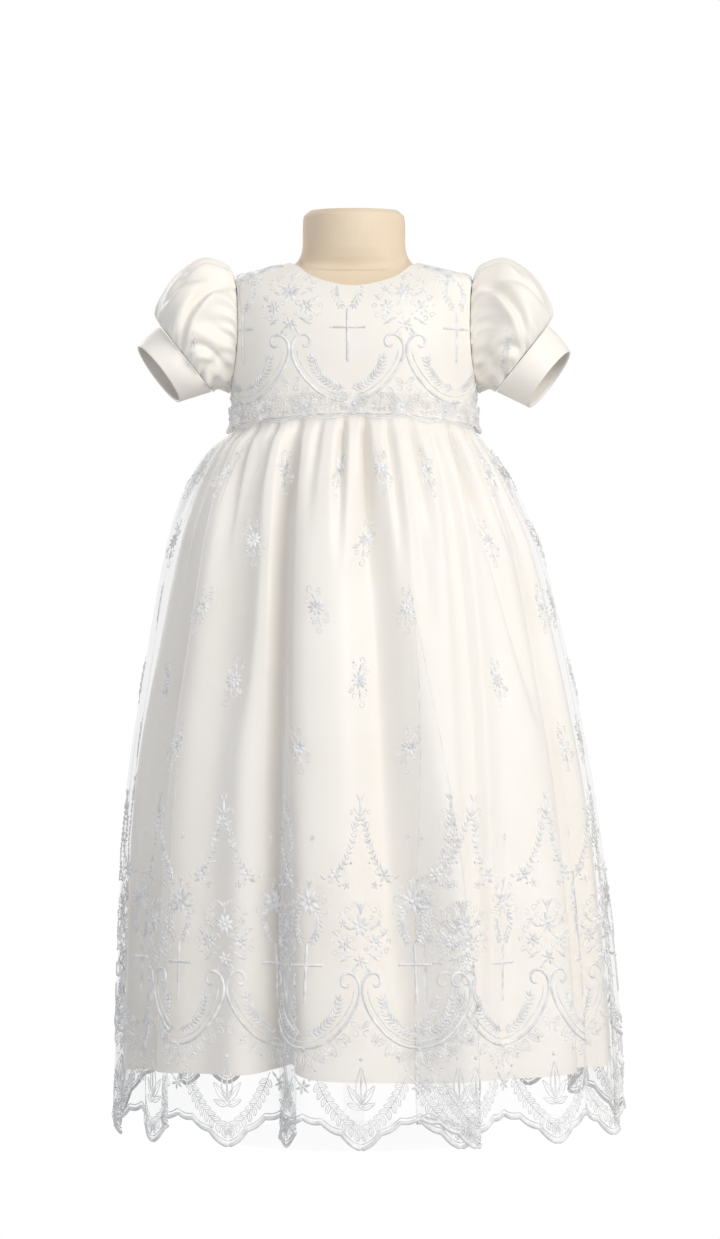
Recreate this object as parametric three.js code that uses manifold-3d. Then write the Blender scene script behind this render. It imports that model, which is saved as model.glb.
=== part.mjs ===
// A child's christening gown standing on a limbless dress form, in millimetres, +Z up.
// X runs to the viewer's right, Y runs away from the viewer, and the origin is on the floor under the form.
// Bearings run round the form from 0 at the front, positive towards +X. Left and right are the viewer's.
import * as THREE from "three";
import { mergeVertices } from "three/addons/utils/BufferGeometryUtils.js";
import Module from "manifold-3d";

const { lerp, clamp, smoothstep, degToRad, euclideanModulo } = THREE.MathUtils;
const FULL_TURN = 2 * Math.PI;
const QUARTER_TURN = Math.PI / 2;
const wasm = await Module();
wasm.setup();

// Lengths of the gown
const HEM_CLEARANCE = 6;
const SKIRT_LENGTH = 526;
const LINING_LENGTH = 476;
const WAIST_Z = HEM_CLEARANCE + SKIRT_LENGTH;
const WAIST_RISE = 9;
const BODICE_TOP = 118.5;

// Walls, and the gap between pieces at a seam. The bodice's edge dips a little below its waist line
const SEAM_GAP = 0.3;
const WAIST_GAP = 0.9;
const BODICE_WALL = 2;
const SATIN_WALL = 1.2;
const NET_WALL = 1;
const CUFF_WALL = 2;
const TRIM_WALL = 1;

// A reach beyond the whole gown, for cutting
const BEYOND = 800;

// The net's scalloped border is woven in equal repeats, counted from the tip nearest the front
const REPEATS = 16;
const SEAM_REPEATS = REPEATS / 4;
const COLUMNS_PER_REPEAT = 8;
const SCALLOP_DEPTH = 22;
const FRONT_TIP_BEARING = degToRad(1.5);
const BORDER_DROP = SKIRT_LENGTH - 60;
const BORDER_STEPS = 720;

// Behind the side seams the net's hem hangs higher. The share of the way back where it is fully up, and the
// share of the net's length where its rows start to rise
const BACK_HEM_LIFT = 24;
const BACK_LIFT_FULL = 0.7;
const BACK_LIFT_START = 0.7;

// Gathers run into the waist seam
const GATHERS = 32;
const GATHER_DEPTH = 2.2;
const GATHER_START = 18;
const GATHER_END = 120;

// Neck and armholes are straight oval holes
const NECK_HOLE = { halfWidth: 48, halfDepth: 43.5, y: -4, low: 85, high: 175 };
const ARMHOLE = { halfDepth: 30, halfHeight: 42, rise: 66.5, innerX: 60, outerX: 130 };
const HOLE_SIDES = 48;

// The form's body by height above the waist seam, with the ease that the bodice has over it
const BODY = [
  { rise: -148, width: 30, depth: 24, square: 2.1, ease: 4 },
  { rise: -145, width: 58, depth: 43, square: 2.2, ease: 4 },
  { rise: -134, width: 76, depth: 56, square: 2.3, ease: 4 },
  { rise: -112, width: 86, depth: 63, square: 2.3, ease: 4 },
  { rise: -72, width: 89, depth: 66, square: 2.3, ease: 4 },
  { rise: -32, width: 86, depth: 61, square: 2.3, ease: 4 },
  { rise: 0, width: 85, depth: 57.5, square: 2.3, ease: 4 },
  { rise: 25, width: 86.5, depth: 59.5, square: 2.35, ease: 3.2 },
  { rise: 60, width: 88, depth: 60, square: 2.4, ease: 2.4 },
  { rise: 86, width: 88.5, depth: 55, square: 2.4, ease: 1.6 },
  { rise: 101, width: 88, depth: 44, square: 2.3, ease: 0.9 },
  { rise: 109, width: 84, depth: 35, square: 2.2, ease: 0.7 },
  { rise: 114, width: 66, depth: 32, square: 2.1, ease: 0.6 },
  { rise: 118.5, width: 47, depth: 32, square: 2, ease: 0.6 },
  { rise: 124, width: 41, depth: 34, square: 2, ease: 0.6 },
  { rise: 132, width: 38.5, depth: 36, square: 2, ease: 0.6 },
  { rise: 155, width: 37.5, depth: 36.5, square: 2, ease: 0.6 },
  { rise: 159.5, width: 33, depth: 32, square: 2, ease: 0.6 },
];
const FORM_RISES = [
  -148, -144, -133, -106, -60, 0, 45, 78, 95, 104, 110, 114, 118.5, 124, 132, 152, 157, 159.5,
];
const BODY_STEP = { u: 0.02, v: 0.4 };
const FORM_COLUMNS = 28;
const FORM_SEAM = { rise: 124.5, tilt: degToRad(20) };
const BODICE_SHARES = [0, 0.16, 0.36, 0.54, 0.69, 0.79, 0.87, 0.92, 0.96, 1];
const BODICE_COLUMNS = 36;

// Outline of the net skirt by drop below the waist seam, and how far the lining lies inside it
const SKIRT = [
  { drop: 0, left: 91, right: 91, front: 63.5, back: 63.5, square: 2.3, lining: 1.3 },
  { drop: 6, left: 92, right: 92, front: 64.5, back: 64.5, square: 2.3, lining: 1.6 },
  { drop: 18, left: 106, right: 101, front: 76, back: 78, square: 2.25, lining: 5 },
  { drop: 36, left: 119, right: 114, front: 88, back: 92, square: 2.2, lining: 7.5 },
  { drop: 55, left: 129, right: 124, front: 98, back: 102, square: 2.15, lining: 8 },
  { drop: 92, left: 141, right: 140, front: 111, back: 116, square: 2.1, lining: 7.5 },
  { drop: 167, left: 155, right: 160, front: 127, back: 132, square: 2.05, lining: 7 },
  { drop: 279, left: 172, right: 182, front: 143, back: 148, square: 2, lining: 6.5 },
  { drop: 428, left: 179, right: 199, front: 155, back: 160, square: 2, lining: 6.5 },
  { drop: 540, left: 182, right: 204, front: 158, back: 164, square: 2, lining: 6.5 },
];
const NET_SHARES = [0, 0.018, 0.05, 0.11, 0.22, 0.42, 0.7, 1];
const LINING_SHARES = [0, 0.02, 0.055, 0.12, 0.27, 0.58, 1];
const LINING_COLUMNS = 44;

// Valleys of both skirt layers: bearing at waist and hem, depth at the hem, half width, and the share of the
// skirt where each one dies out (past 1 it runs through the hem)
const VALLEY_GROWTH = 0.6;
const VALLEY_FADE_START = 0.5;
const VALLEYS = [
  { waist: -63, hem: -68, depth: 12, half: 9, end: 2 },
  { waist: -46, hem: -34, depth: 10, half: 6, end: 0.5 },
  { waist: -28, hem: -22, depth: 22, half: 6.5, end: 2 },
  { waist: 3, hem: 11, depth: 12, half: 8, end: 1.4 },
  { waist: 52, hem: 37, depth: 11, half: 6.5, end: 2 },
  { waist: 46, hem: 66, depth: 8, half: 6, end: 0.5 },
  { waist: 66, hem: 67, depth: 13, half: 7, end: 2 },
  { waist: 90, hem: 90, depth: 8, half: 7, end: 2 },
  { waist: 112, hem: 110, depth: 16, half: 7, end: 2 },
  { waist: 137, hem: 135, depth: 12, half: 8, end: 2 },
  { waist: 160, hem: 163, depth: 18, half: 7, end: 2 },
  { waist: 186, hem: 189, depth: 13, half: 8, end: 2 },
  { waist: 212, hem: 214, depth: 17, half: 7, end: 2 },
  { waist: 238, hem: 236, depth: 12, half: 7, end: 2 },
  { waist: 266, hem: 266, depth: 8, half: 7, end: 2 },
];

// Sharp folds of the net alone: bearing, width of net taken up, and the sideways swing and lift of the edge.
// The scale brings the peak of the swing's curve to one
const PLEAT_FULL_SHARE = 0.9;
const PLEAT_SWING_SCALE = 1.54;
const PLEATS = [
  { waist: -24, hem: -15, width: 12, swing: 1.2, lift: 3 },
  { waist: 24, hem: 24, width: 14, swing: 1.4, lift: 4 },
  { waist: -50, hem: -48, width: 11, swing: 1, lift: 1.5 },
  { waist: 78, hem: 78, width: 11, swing: 1, lift: 1.5 },
  { waist: 122, hem: 122, width: 13, swing: 1.3, lift: 3 },
  { waist: 175, hem: 176, width: 12, swing: 1.2, lift: 2 },
  { waist: 226, hem: 226, width: 13, swing: 1.3, lift: 3 },
  { waist: 282, hem: 282, width: 11, swing: 1, lift: 1.5 },
];

// Sleeve rings from the armhole to the cuff seam: top edge, low edge, half depth, gathers and lean forward
const SLEEVE_RINGS = [
  { along: 0, topX: 89, topRise: 108, lowX: 90.5, lowRise: 25.1, depth: 29.4, gather: 0, forward: 0 },
  { along: 0.12, topX: 97, topRise: 118, lowX: 93, lowRise: 25, depth: 33, gather: 1.2, forward: 0 },
  { along: 0.28, topX: 109.5, topRise: 122.5, lowX: 96, lowRise: 25.5, depth: 38, gather: 1.2, forward: 1 },
  { along: 0.44, topX: 122, topRise: 119.5, lowX: 99, lowRise: 26.5, depth: 41, gather: 0.6, forward: 2 },
  { along: 0.6, topX: 134, topRise: 110, lowX: 101.5, lowRise: 27, depth: 42, gather: 0.6, forward: 3 },
  { along: 0.76, topX: 143, topRise: 95.5, lowX: 103.5, lowRise: 26.5, depth: 40, gather: 1, forward: 4 },
  { along: 0.9, topX: 147, topRise: 81, lowX: 105.5, lowRise: 25.5, depth: 34, gather: 1.4, forward: 5 },
  { along: 1, topX: 143.5, topRise: 73, lowX: 106.5, lowRise: 26.2, depth: 29, gather: 0.6, forward: 5 },
];
const SLEEVE_ALONGS = [0, 0.12, 0.3, 0.54, 0.78, 0.92, 1];
const SLEEVE_COLUMNS = 32;
const SLEEVE_GATHERS = 10;
const ARMHOLE_BLEND = 0.24;
const ARMHOLE_STAND_OFF = 30;

// Cuff bands open at the mouth, which faces a little forward
const CUFF_MOUTH = { topX: 161, topRise: 58, lowX: 130, lowRise: 17, depth: 28, forward: 9, face: 4.2 };
const CUFF_EASE = 1.4;
const CUFF_GAP = 0.8;
const CUFF_ALONGS = [0, 1];
const CUFF_COLUMNS = 24;
// How far each cuff's mouth hangs down
const SLEEVES = [
  { name: "left", side: -1, sink: 0 },
  { name: "right", side: 1, sink: 4 },
];

// Scalloped lace trim over the waist seam
const TRIM_ABOVE = 14;
const TRIM_BELOW = 3;
const TRIM_SCALLOP = 3.5;
const TRIM_SCALLOPS = 16;
const TRIM_COLUMNS_PER_SCALLOP = 4;
const TRIM_FLARE = 3.2;
const TRIM_SHARES = [0, 0.35, 1];

// Back closing: a strip over the two back edges, with buttons on it
const PLACKET = { halfBearing: degToRad(6), low: 16, high: 105, wall: 1 };
const PLACKET_SHARES = [0, 0.2, 0.4, 0.6, 0.75, 0.87, 0.95, 1];
const BUTTON_RISES = [30, 62, 90];
const BUTTON = { radius: 5, rim: 1.6, face: 3, height: 3, sides: 10 };

// Corded embroidery: the border's scroll by share of a repeat from its middle and height above the tips
const CORD = { width: 3, height: 1.5, gap: 0.8 };
const SCROLL = [
  { across: 0, up: 78 },
  { across: 0.125, up: 79.5 },
  { across: 0.25, up: 86 },
  { across: 0.375, up: 98 },
  { across: 0.468, up: 110 },
  { across: 0.5, up: 121 },
  { across: 0.44, up: 131 },
  { across: 0.375, up: 131 },
  { across: 0.35, up: 124 },
];
const CROSS = { foot: 78, head: 150, arm: 138, halfArm: 0.124 };
const SCROLL_SEAM_EDGE = 0.025;
const NEAREST_CROSSING = 0.02;

// The bodice's scrolls and cross, by bearing in degrees and height above the waist seam
const BODICE_SCROLL = [
  { bearing: 13, rise: 26 },
  { bearing: 8, rise: 34 },
  { bearing: 4, rise: 44 },
  { bearing: 3.2, rise: 54 },
  { bearing: 6, rise: 60 },
  { bearing: 10, rise: 57 },
  { bearing: 9, rise: 51 },
];
const BODICE_SCROLL_LINK = { bearing: 3.2, rise: 54 };
const BODICE_SCROLL_BEARINGS = { left: -34, right: 27 };
const BODICE_CROSS = { bearing: -4, foot: 36, head: 80, arm: 66, halfArm: 7 };

// The stand inside the skirt
const POLE = { radius: 8, sides: 16 };
const BASE = { radius: 96, thickness: 5, chamfer: 1.5, sides: 36 };

const MATERIALS = {
  satin: { color: 0xf3efe7, roughness: 0.45, metalness: 0 },
  net: { color: 0xf6f6f5, roughness: 0.8, metalness: 0 },
  thread: { color: 0xeeeeec, roughness: 0.5, metalness: 0 },
  form: { color: 0xefddc0, roughness: 0.6, metalness: 0 },
  stand: { color: 0xf2f2f2, roughness: 0.4, metalness: 0 },
  button: { color: 0xf5f3ee, roughness: 0.25, metalness: 0 },
};

// Reads every column of a table at one place along its key column, on a smooth curve through the rows.
function readTable(rows, key, at) {
  const last = rows.length - 1;
  const found = rows.findIndex((row, n) => n > 0 && at <= row[key]);
  const i = found < 0 ? last - 1 : found - 1;
  const span = rows[i + 1][key] - rows[i][key];
  const f = clamp((at - rows[i][key]) / span, 0, 1);
  const slope = (n, column) => {
    const before = rows[Math.max(n - 1, 0)];
    const after = rows[Math.min(n + 1, last)];
    return (after[column] - before[column]) / (after[key] - before[key]);
  };
  const read = {};
  for (const column of Object.keys(rows[i])) {
    const blend = lerp(rows[i][column], rows[i + 1][column], 3 * f * f - 2 * f * f * f);
    const leave = slope(i, column) * span * f * (1 - f) * (1 - f);
    const arrive = slope(i + 1, column) * span * f * f * (1 - f);
    read[column] = blend + leave - arrive;
  }
  return read;
}

// Evenly spaced values from one end to the other, with both ends.
function spread(from, to, steps) {
  return Array.from({ length: steps + 1 }, (_, i) => lerp(from, to, i / steps));
}

// The signed angle from one bearing to another, the short way round.
function bearingOffset(from, to) {
  return euclideanModulo(to - from + Math.PI, FULL_TURN) - Math.PI;
}

// A point on a rounded oval whose reach differs on its four sides.
function ovalPoint(bearing, { left, right, front, back, square }) {
  const s = Math.sin(bearing);
  const c = Math.cos(bearing);
  const scale = (Math.abs(s) ** square + Math.abs(c) ** square) ** (-1 / square);
  return new THREE.Vector3(scale * s * (s < 0 ? left : right), -scale * c * (c > 0 ? front : back), 0);
}

// The unit normal of a sheet, by small steps along its two directions. Steps point right and up for outward.
function sheetNormal(sheet, u, v, step) {
  const alongU = sheet(u + step.u, v).sub(sheet(u - step.u, v));
  const alongV = sheet(u, v + step.v).sub(sheet(u, v - step.v));
  return alongU.cross(alongV).normalize();
}

// A geometry from points and triangles, with its faces pointing out.
function closedGeometry(points, triangles) {
  const volume = triangles.reduce((sum, [a, b, c]) => {
    return sum + points[a].dot(new THREE.Vector3().crossVectors(points[b], points[c]));
  }, 0);
  const facing = volume < 0 ? triangles.map(([a, b, c]) => [a, c, b]) : triangles;
  return new THREE.BufferGeometry().setFromPoints(points).setIndex(facing.flat());
}

// A cloth wall over a grid on a sheet. Its outer face is the sheet moved out by lift, its inner face is one
// wall further in, and a closed wall runs all the way round.
function clothWall({ sheet, us, vs, step, wall, lift = 0, closed = false }) {
  const outer = [];
  const inner = [];
  for (const u of us) {
    for (const v of vs) {
      const normal = sheetNormal(sheet, u, v, step);
      outer.push(sheet(u, v).addScaledVector(normal, lift));
      inner.push(sheet(u, v).addScaledVector(normal, lift - wall));
    }
  }
  const shift = outer.length;
  const rows = vs.length;
  const end = rows - 1;
  const triangles = [];
  const quad = (a, b, c, d) => triangles.push([a, b, c], [a, c, d]);
  for (let i = 0; i < (closed ? us.length : us.length - 1); i++) {
    const near = i * rows;
    const far = ((i + 1) % us.length) * rows;
    for (let j = 0; j < end; j++) {
      quad(near + j, near + j + 1, far + j + 1, far + j);
      quad(shift + near + j, shift + far + j, shift + far + j + 1, shift + near + j + 1);
    }
    quad(near, far, shift + far, shift + near);
    quad(near + end, shift + near + end, shift + far + end, far + end);
  }
  if (!closed) {
    const far = (us.length - 1) * rows;
    for (let j = 0; j < end; j++) {
      quad(j, shift + j, shift + j + 1, j + 1);
      quad(far + j, far + j + 1, shift + far + j + 1, shift + far + j);
    }
  }
  return closedGeometry([...outer, ...inner], triangles);
}

// A place on the flat facets of a cloth wall's outer face, with the facet's normal.
function facetAt({ sheet, us, vs, step }, u, v) {
  const i = clamp(us.findIndex((next) => u < next) - 1, 0, us.length - 2);
  const j = clamp(vs.findIndex((next) => v < next) - 1, 0, vs.length - 2);
  const f = (u - us[i]) / (us[i + 1] - us[i]);
  const g = (v - vs[j]) / (vs[j + 1] - vs[j]);
  const a = sheet(us[i], vs[j]);
  const b = sheet(us[i], vs[j + 1]);
  const c = sheet(us[i + 1], vs[j + 1]);
  const d = sheet(us[i + 1], vs[j]);
  const alongU = g > f ? c.clone().sub(b) : d.clone().sub(a);
  const alongV = g > f ? b.clone().sub(a) : c.clone().sub(d);
  const point = a.clone().addScaledVector(alongU, f).addScaledVector(alongV, g);
  const normal = alongU.clone().cross(alongV).normalize();
  return { point, normal: normal.multiplyScalar(Math.sign(step.u * step.v)) };
}

// A filled solid through rings of points, closed by a flat fan at each end.
function loftSolid(ringPoint, levels, columns) {
  const points = levels.flatMap((level) => {
    return Array.from({ length: columns }, (_, i) => ringPoint((FULL_TURN * i) / columns, level));
  });
  const triangles = [];
  for (let j = 0; j < levels.length - 1; j++) {
    const low = j * columns;
    const high = low + columns;
    for (let i = 0; i < columns; i++) {
      const next = (i + 1) % columns;
      triangles.push([low + i, low + next, high + next], [low + i, high + next, high + i]);
    }
  }
  const top = (levels.length - 1) * columns;
  for (let i = 1; i < columns - 1; i++) {
    triangles.push([0, i + 1, i], [top, top + i, top + i + 1]);
  }
  return closedGeometry(points, triangles);
}

// A closed geometry as a solid that can be joined or cut.
function toSolid(geometry) {
  geometry.deleteAttribute("normal");
  geometry.deleteAttribute("uv");
  const merged = mergeVertices(geometry);
  const vertProperties = new Float32Array(merged.getAttribute("position").array);
  const triVerts = new Uint32Array(merged.index.array);
  return new wasm.Manifold(new wasm.Mesh({ numProp: 3, vertProperties, triVerts }));
}

// A joined or cut solid as a geometry.
function toGeometry(solid) {
  const { vertProperties, triVerts } = solid.getMesh();
  const geometry = new THREE.BufferGeometry();
  geometry.setAttribute("position", new THREE.BufferAttribute(new Float32Array(vertProperties), 3));
  return geometry.setIndex(new THREE.BufferAttribute(new Uint32Array(triVerts), 1));
}

// A box between two corners, for cutting.
function boxBetween(low, high) {
  const size = high.clone().sub(low);
  const centre = high.clone().add(low).multiplyScalar(0.5);
  return new THREE.BoxGeometry(size.x, size.y, size.z).translate(centre.x, centre.y, centre.z);
}

// The waist seam rises towards the middle of the front.
function waistRise(bearing) {
  return WAIST_RISE * Math.max(0, Math.cos(bearing)) ** 2;
}

// The form's surface by bearing and height above the waist.
function bodyPoint(bearing, rise) {
  const { width, depth, square } = readTable(BODY, "rise", rise);
  const plan = ovalPoint(bearing, { left: width, right: width, front: depth, back: depth, square });
  return plan.setZ(WAIST_Z + rise);
}

// The bodice's outer face lies on the form with ease and one wall between.
function bodicePoint(bearing, rise) {
  const normal = sheetNormal(bodyPoint, bearing, rise, BODY_STEP);
  return bodyPoint(bearing, rise).addScaledVector(normal, readTable(BODY, "rise", rise).ease + BODICE_WALL);
}
function bodiceSheet(bearing, share) {
  return bodicePoint(bearing, lerp(waistRise(bearing), BODICE_TOP, share));
}

// How far the skirt's valleys reach in at one place. They deepen from waist to hem.
function valleyDepth(bearing, share) {
  let depth = 0;
  for (const valley of VALLEYS) {
    const centre = degToRad(lerp(valley.waist, valley.hem, Math.sqrt(share)));
    const offset = bearingOffset(centre, bearing) / degToRad(valley.half);
    const fade = 1 - smoothstep(share, valley.end * VALLEY_FADE_START, valley.end);
    depth += valley.depth * fade * share ** VALLEY_GROWTH * Math.exp(-offset * offset);
  }
  return depth;
}

// How far the waist gathers stand in or out at one place.
function gatherHeight(bearing, drop) {
  const grow = smoothstep(drop, 0, GATHER_START) * (1 - smoothstep(drop, GATHER_START, GATHER_END));
  return GATHER_DEPTH * grow * Math.cos(GATHERS * bearing + Math.sin(3 * bearing));
}

// The sideways swing and the lift of the net at its sharp folds.
function pleatMove(bearing, share) {
  const move = { swing: 0, lift: 0 };
  const grow = smoothstep(share, 0, PLEAT_FULL_SHARE);
  for (const pleat of PLEATS) {
    const centre = degToRad(lerp(pleat.waist, pleat.hem, share));
    const x = bearingOffset(centre, bearing) / degToRad(pleat.width);
    const near = clamp(x, -0.5, 0.5);
    const peak = PLEAT_SWING_SCALE * Math.sin(FULL_TURN * near) * Math.cos(Math.PI * near) ** 2;
    move.swing -= grow * degToRad(pleat.swing) * peak;
    const reach = Math.cos((Math.PI / 4) * clamp(x, -2, 2)) ** 2;
    move.lift += grow * pleat.lift * (1 - Math.sin(Math.PI * near)) * reach;
  }
  return move;
}

// A point of a skirt layer: the outline at that drop, moved in or out along its own radius.
function skirtPoint(bearing, drop, inset, lift, seamBearing) {
  const share = Math.max(0, drop / SKIRT_LENGTH);
  const plan = ovalPoint(bearing, readTable(SKIRT, "drop", drop));
  const move = lift - inset - valleyDepth(bearing, share) + gatherHeight(bearing, drop);
  plan.setLength(plan.length() + move);
  return plan.setZ(WAIST_Z + waistRise(seamBearing) - WAIST_GAP - drop);
}
function netPoint(bearing, drop) {
  const { swing, lift } = pleatMove(bearing, drop / SKIRT_LENGTH);
  return skirtPoint(bearing + swing, drop, 0, lift, bearing);
}
function liningSheet(bearing, share) {
  const drop = share * (LINING_LENGTH + waistRise(bearing));
  return skirtPoint(bearing, drop, readTable(SKIRT, "drop", drop).lining, 0, bearing);
}

// Length along the net's border by bearing, so that lace repeats keep their width over the folds.
function measureBorder() {
  const bearings = spread(-Math.PI, Math.PI, BORDER_STEPS);
  const points = bearings.map((bearing) => netPoint(bearing, BORDER_DROP));
  const marks = [{ bearing: bearings[0], length: 0 }];
  for (let i = 1; i <= BORDER_STEPS; i++) {
    const length = marks[i - 1].length + points[i].distanceTo(points[i - 1]);
    marks.push({ bearing: bearings[i], length });
  }
  return marks;
}
const BORDER = measureBorder();
const BORDER_LENGTH = BORDER[BORDER_STEPS].length;
const FRONT_TIP_LENGTH = BORDER.find((mark) => mark.bearing >= FRONT_TIP_BEARING).length;

// The bearing of the thread that runs down the net at a given lace repeat.
function repeatBearing(repeat) {
  const along = FRONT_TIP_LENGTH + (repeat * BORDER_LENGTH) / REPEATS;
  const rounds = Math.floor(along / BORDER_LENGTH);
  const length = along - rounds * BORDER_LENGTH;
  const i = Math.max(1, BORDER.findIndex((mark) => mark.length >= length));
  const span = BORDER[i].length - BORDER[i - 1].length;
  const f = (length - BORDER[i - 1].length) / span;
  return rounds * FULL_TURN + lerp(BORDER[i - 1].bearing, BORDER[i].bearing, f);
}

// The net's length from waist seam to scalloped edge.
function scallopLift(repeat) {
  return SCALLOP_DEPTH * Math.abs(Math.sin(Math.PI * repeat));
}
function netLength(repeat) {
  const tip = SKIRT_LENGTH + waistRise(repeatBearing(repeat)) - WAIST_GAP;
  return tip - scallopLift(repeat);
}

// How fast the net's rows rise towards its back hem.
function backRise(repeat) {
  const lift = BACK_HEM_LIFT * smoothstep(-Math.cos(repeatBearing(repeat)), 0, BACK_LIFT_FULL);
  return lift / (1 - BACK_LIFT_START);
}
function netSheet(repeat, share) {
  const rise = backRise(repeat) * Math.max(0, share - BACK_LIFT_START);
  return netPoint(repeatBearing(repeat), share * netLength(repeat) - rise);
}

// The two net panels and the two lining panels meet at the side seams.
function netPanel(from) {
  const trim = SEAM_GAP / (BORDER_LENGTH / REPEATS);
  const steps = 2 * SEAM_REPEATS * COLUMNS_PER_REPEAT;
  const us = spread(from, from + 2 * SEAM_REPEATS, steps);
  us[0] += trim;
  us[steps] -= trim;
  return { sheet: netSheet, us, vs: NET_SHARES, step: { u: 0.02, v: -0.002 }, wall: NET_WALL };
}
function liningPanel(from) {
  const us = spread(from, from + Math.PI, LINING_COLUMNS);
  const trim = SEAM_GAP / SKIRT[0].left;
  us[0] += trim;
  us[LINING_COLUMNS] -= trim;
  return { sheet: liningSheet, us, vs: LINING_SHARES, step: { u: 0.01, v: -0.002 }, wall: SATIN_WALL };
}

// The bodice is one shell over the form, with neck and armholes cut out, parted at the seams.
const BODICE_SHELL = {
  sheet: bodiceSheet,
  us: spread(0, FULL_TURN, BODICE_COLUMNS).slice(0, BODICE_COLUMNS),
  vs: BODICE_SHARES,
  step: { u: 0.02, v: 0.004 },
  wall: BODICE_WALL,
  closed: true,
};
function ovalHole(halfAcross, halfAlong, length) {
  const hole = new THREE.CylinderGeometry(1, 1, length, HOLE_SIDES).rotateX(QUARTER_TURN);
  return hole.scale(halfAcross, halfAlong, 1);
}
function bodiceSolid() {
  const { halfWidth, halfDepth, y, low, high } = NECK_HOLE;
  const neck = ovalHole(halfWidth, halfDepth, high - low).translate(0, y, WAIST_Z + (low + high) / 2);
  let solid = toSolid(clothWall(BODICE_SHELL)).subtract(toSolid(neck));
  for (const { side } of SLEEVES) {
    const { innerX, outerX, rise } = ARMHOLE;
    const hole = ovalHole(ARMHOLE.halfHeight, ARMHOLE.halfDepth, outerX - innerX).rotateY(QUARTER_TURN);
    hole.translate((side * (innerX + outerX)) / 2, 0, WAIST_Z + rise);
    solid = solid.subtract(toSolid(hole));
  }
  return solid;
}
function bodicePanels() {
  const solid = bodiceSolid();
  const edge = SEAM_GAP / 2;
  const part = (x0, x1, y0, y1) => {
    const box = boxBetween(new THREE.Vector3(x0, y0, 0), new THREE.Vector3(x1, y1, BEYOND));
    return toGeometry(solid.intersect(toSolid(box)));
  };
  return {
    bodice_front: part(-BEYOND, BEYOND, -BEYOND, -edge),
    bodice_back_left: part(-BEYOND, -edge, edge, BEYOND),
    bodice_back_right: part(edge, BEYOND, edge, BEYOND),
  };
}

// The reach of the bodice's outer face to the side, at a given depth and height.
function bodiceReach(y, rise) {
  const { width, depth, square, ease } = readTable(BODY, "rise", rise);
  const offset = ease + BODICE_WALL;
  return (width + offset) * (1 - (Math.abs(y) / (depth + offset)) ** square) ** (1 / square);
}

// A ring of a sleeve or cuff, from its top edge forward and round. Angle 0 is the top edge.
function ringPoint(ring, angle, side, swell) {
  const half = new THREE.Vector3(ring.topX - ring.lowX, 0, ring.topRise - ring.lowRise).multiplyScalar(0.5);
  const centre = new THREE.Vector3(ring.lowX, -ring.forward, WAIST_Z + ring.lowRise).add(half);
  const point = centre.addScaledVector(half, Math.cos(angle) * (1 + swell / half.length()));
  point.y -= (ring.depth + swell) * Math.sin(angle);
  point.x *= side;
  return point;
}
function sleeveSheet(side) {
  return (angle, along) => {
    const ring = readTable(SLEEVE_RINGS, "along", clamp(along, 0, 1));
    const point = ringPoint(ring, angle, side, ring.gather * Math.cos(SLEEVE_GATHERS * angle));
    const blend = 1 - smoothstep(along, 0, ARMHOLE_BLEND);
    const flat = (ring.topX + ring.lowX) / 2 + ((ring.topX - ring.lowX) / 2) * Math.cos(angle);
    const seamPoint = ringPoint(SLEEVE_RINGS[0], angle, side, 0);
    const reach = bodiceReach(seamPoint.y, seamPoint.z - WAIST_Z) + along * ARMHOLE_STAND_OFF;
    point.x += side * blend * (reach - flat);
    return point;
  };
}
function cuffSheet({ side, sink }) {
  const seam = SLEEVE_RINGS[SLEEVE_RINGS.length - 1];
  const across = new THREE.Vector2(seam.topX - seam.lowX, seam.topRise - seam.lowRise).normalize();
  const outward = new THREE.Vector2(across.y, -across.x);
  const grown = {
    topX: seam.topX + CUFF_EASE * across.x + CUFF_GAP * outward.x,
    topRise: seam.topRise + CUFF_EASE * across.y + CUFF_GAP * outward.y,
    lowX: seam.lowX - CUFF_EASE * across.x + CUFF_GAP * outward.x,
    lowRise: seam.lowRise - CUFF_EASE * across.y + CUFF_GAP * outward.y,
    depth: seam.depth + CUFF_EASE,
    forward: seam.forward,
  };
  return (angle, along) => {
    const mouth = ringPoint(CUFF_MOUTH, angle, side, 0);
    const tilt = CUFF_MOUTH.face * Math.sin(angle);
    mouth.x -= side * tilt * outward.x;
    mouth.z -= tilt * outward.y + sink;
    return ringPoint(grown, angle, side, 0).lerp(mouth, along);
  };
}
function sleeveWall({ side }) {
  const us = spread(0, FULL_TURN, SLEEVE_COLUMNS).slice(0, SLEEVE_COLUMNS);
  const step = { u: 0.03 * side, v: 0.01 };
  return clothWall({ sheet: sleeveSheet(side), us, vs: SLEEVE_ALONGS, step, wall: SATIN_WALL, closed: true });
}
function cuffWall(sleeve) {
  const us = spread(0, FULL_TURN, CUFF_COLUMNS).slice(0, CUFF_COLUMNS);
  const step = { u: 0.03 * sleeve.side, v: 0.02 };
  const sheet = cuffSheet(sleeve);
  return clothWall({ sheet, us, vs: CUFF_ALONGS, step, wall: CUFF_WALL, closed: true });
}

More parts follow.
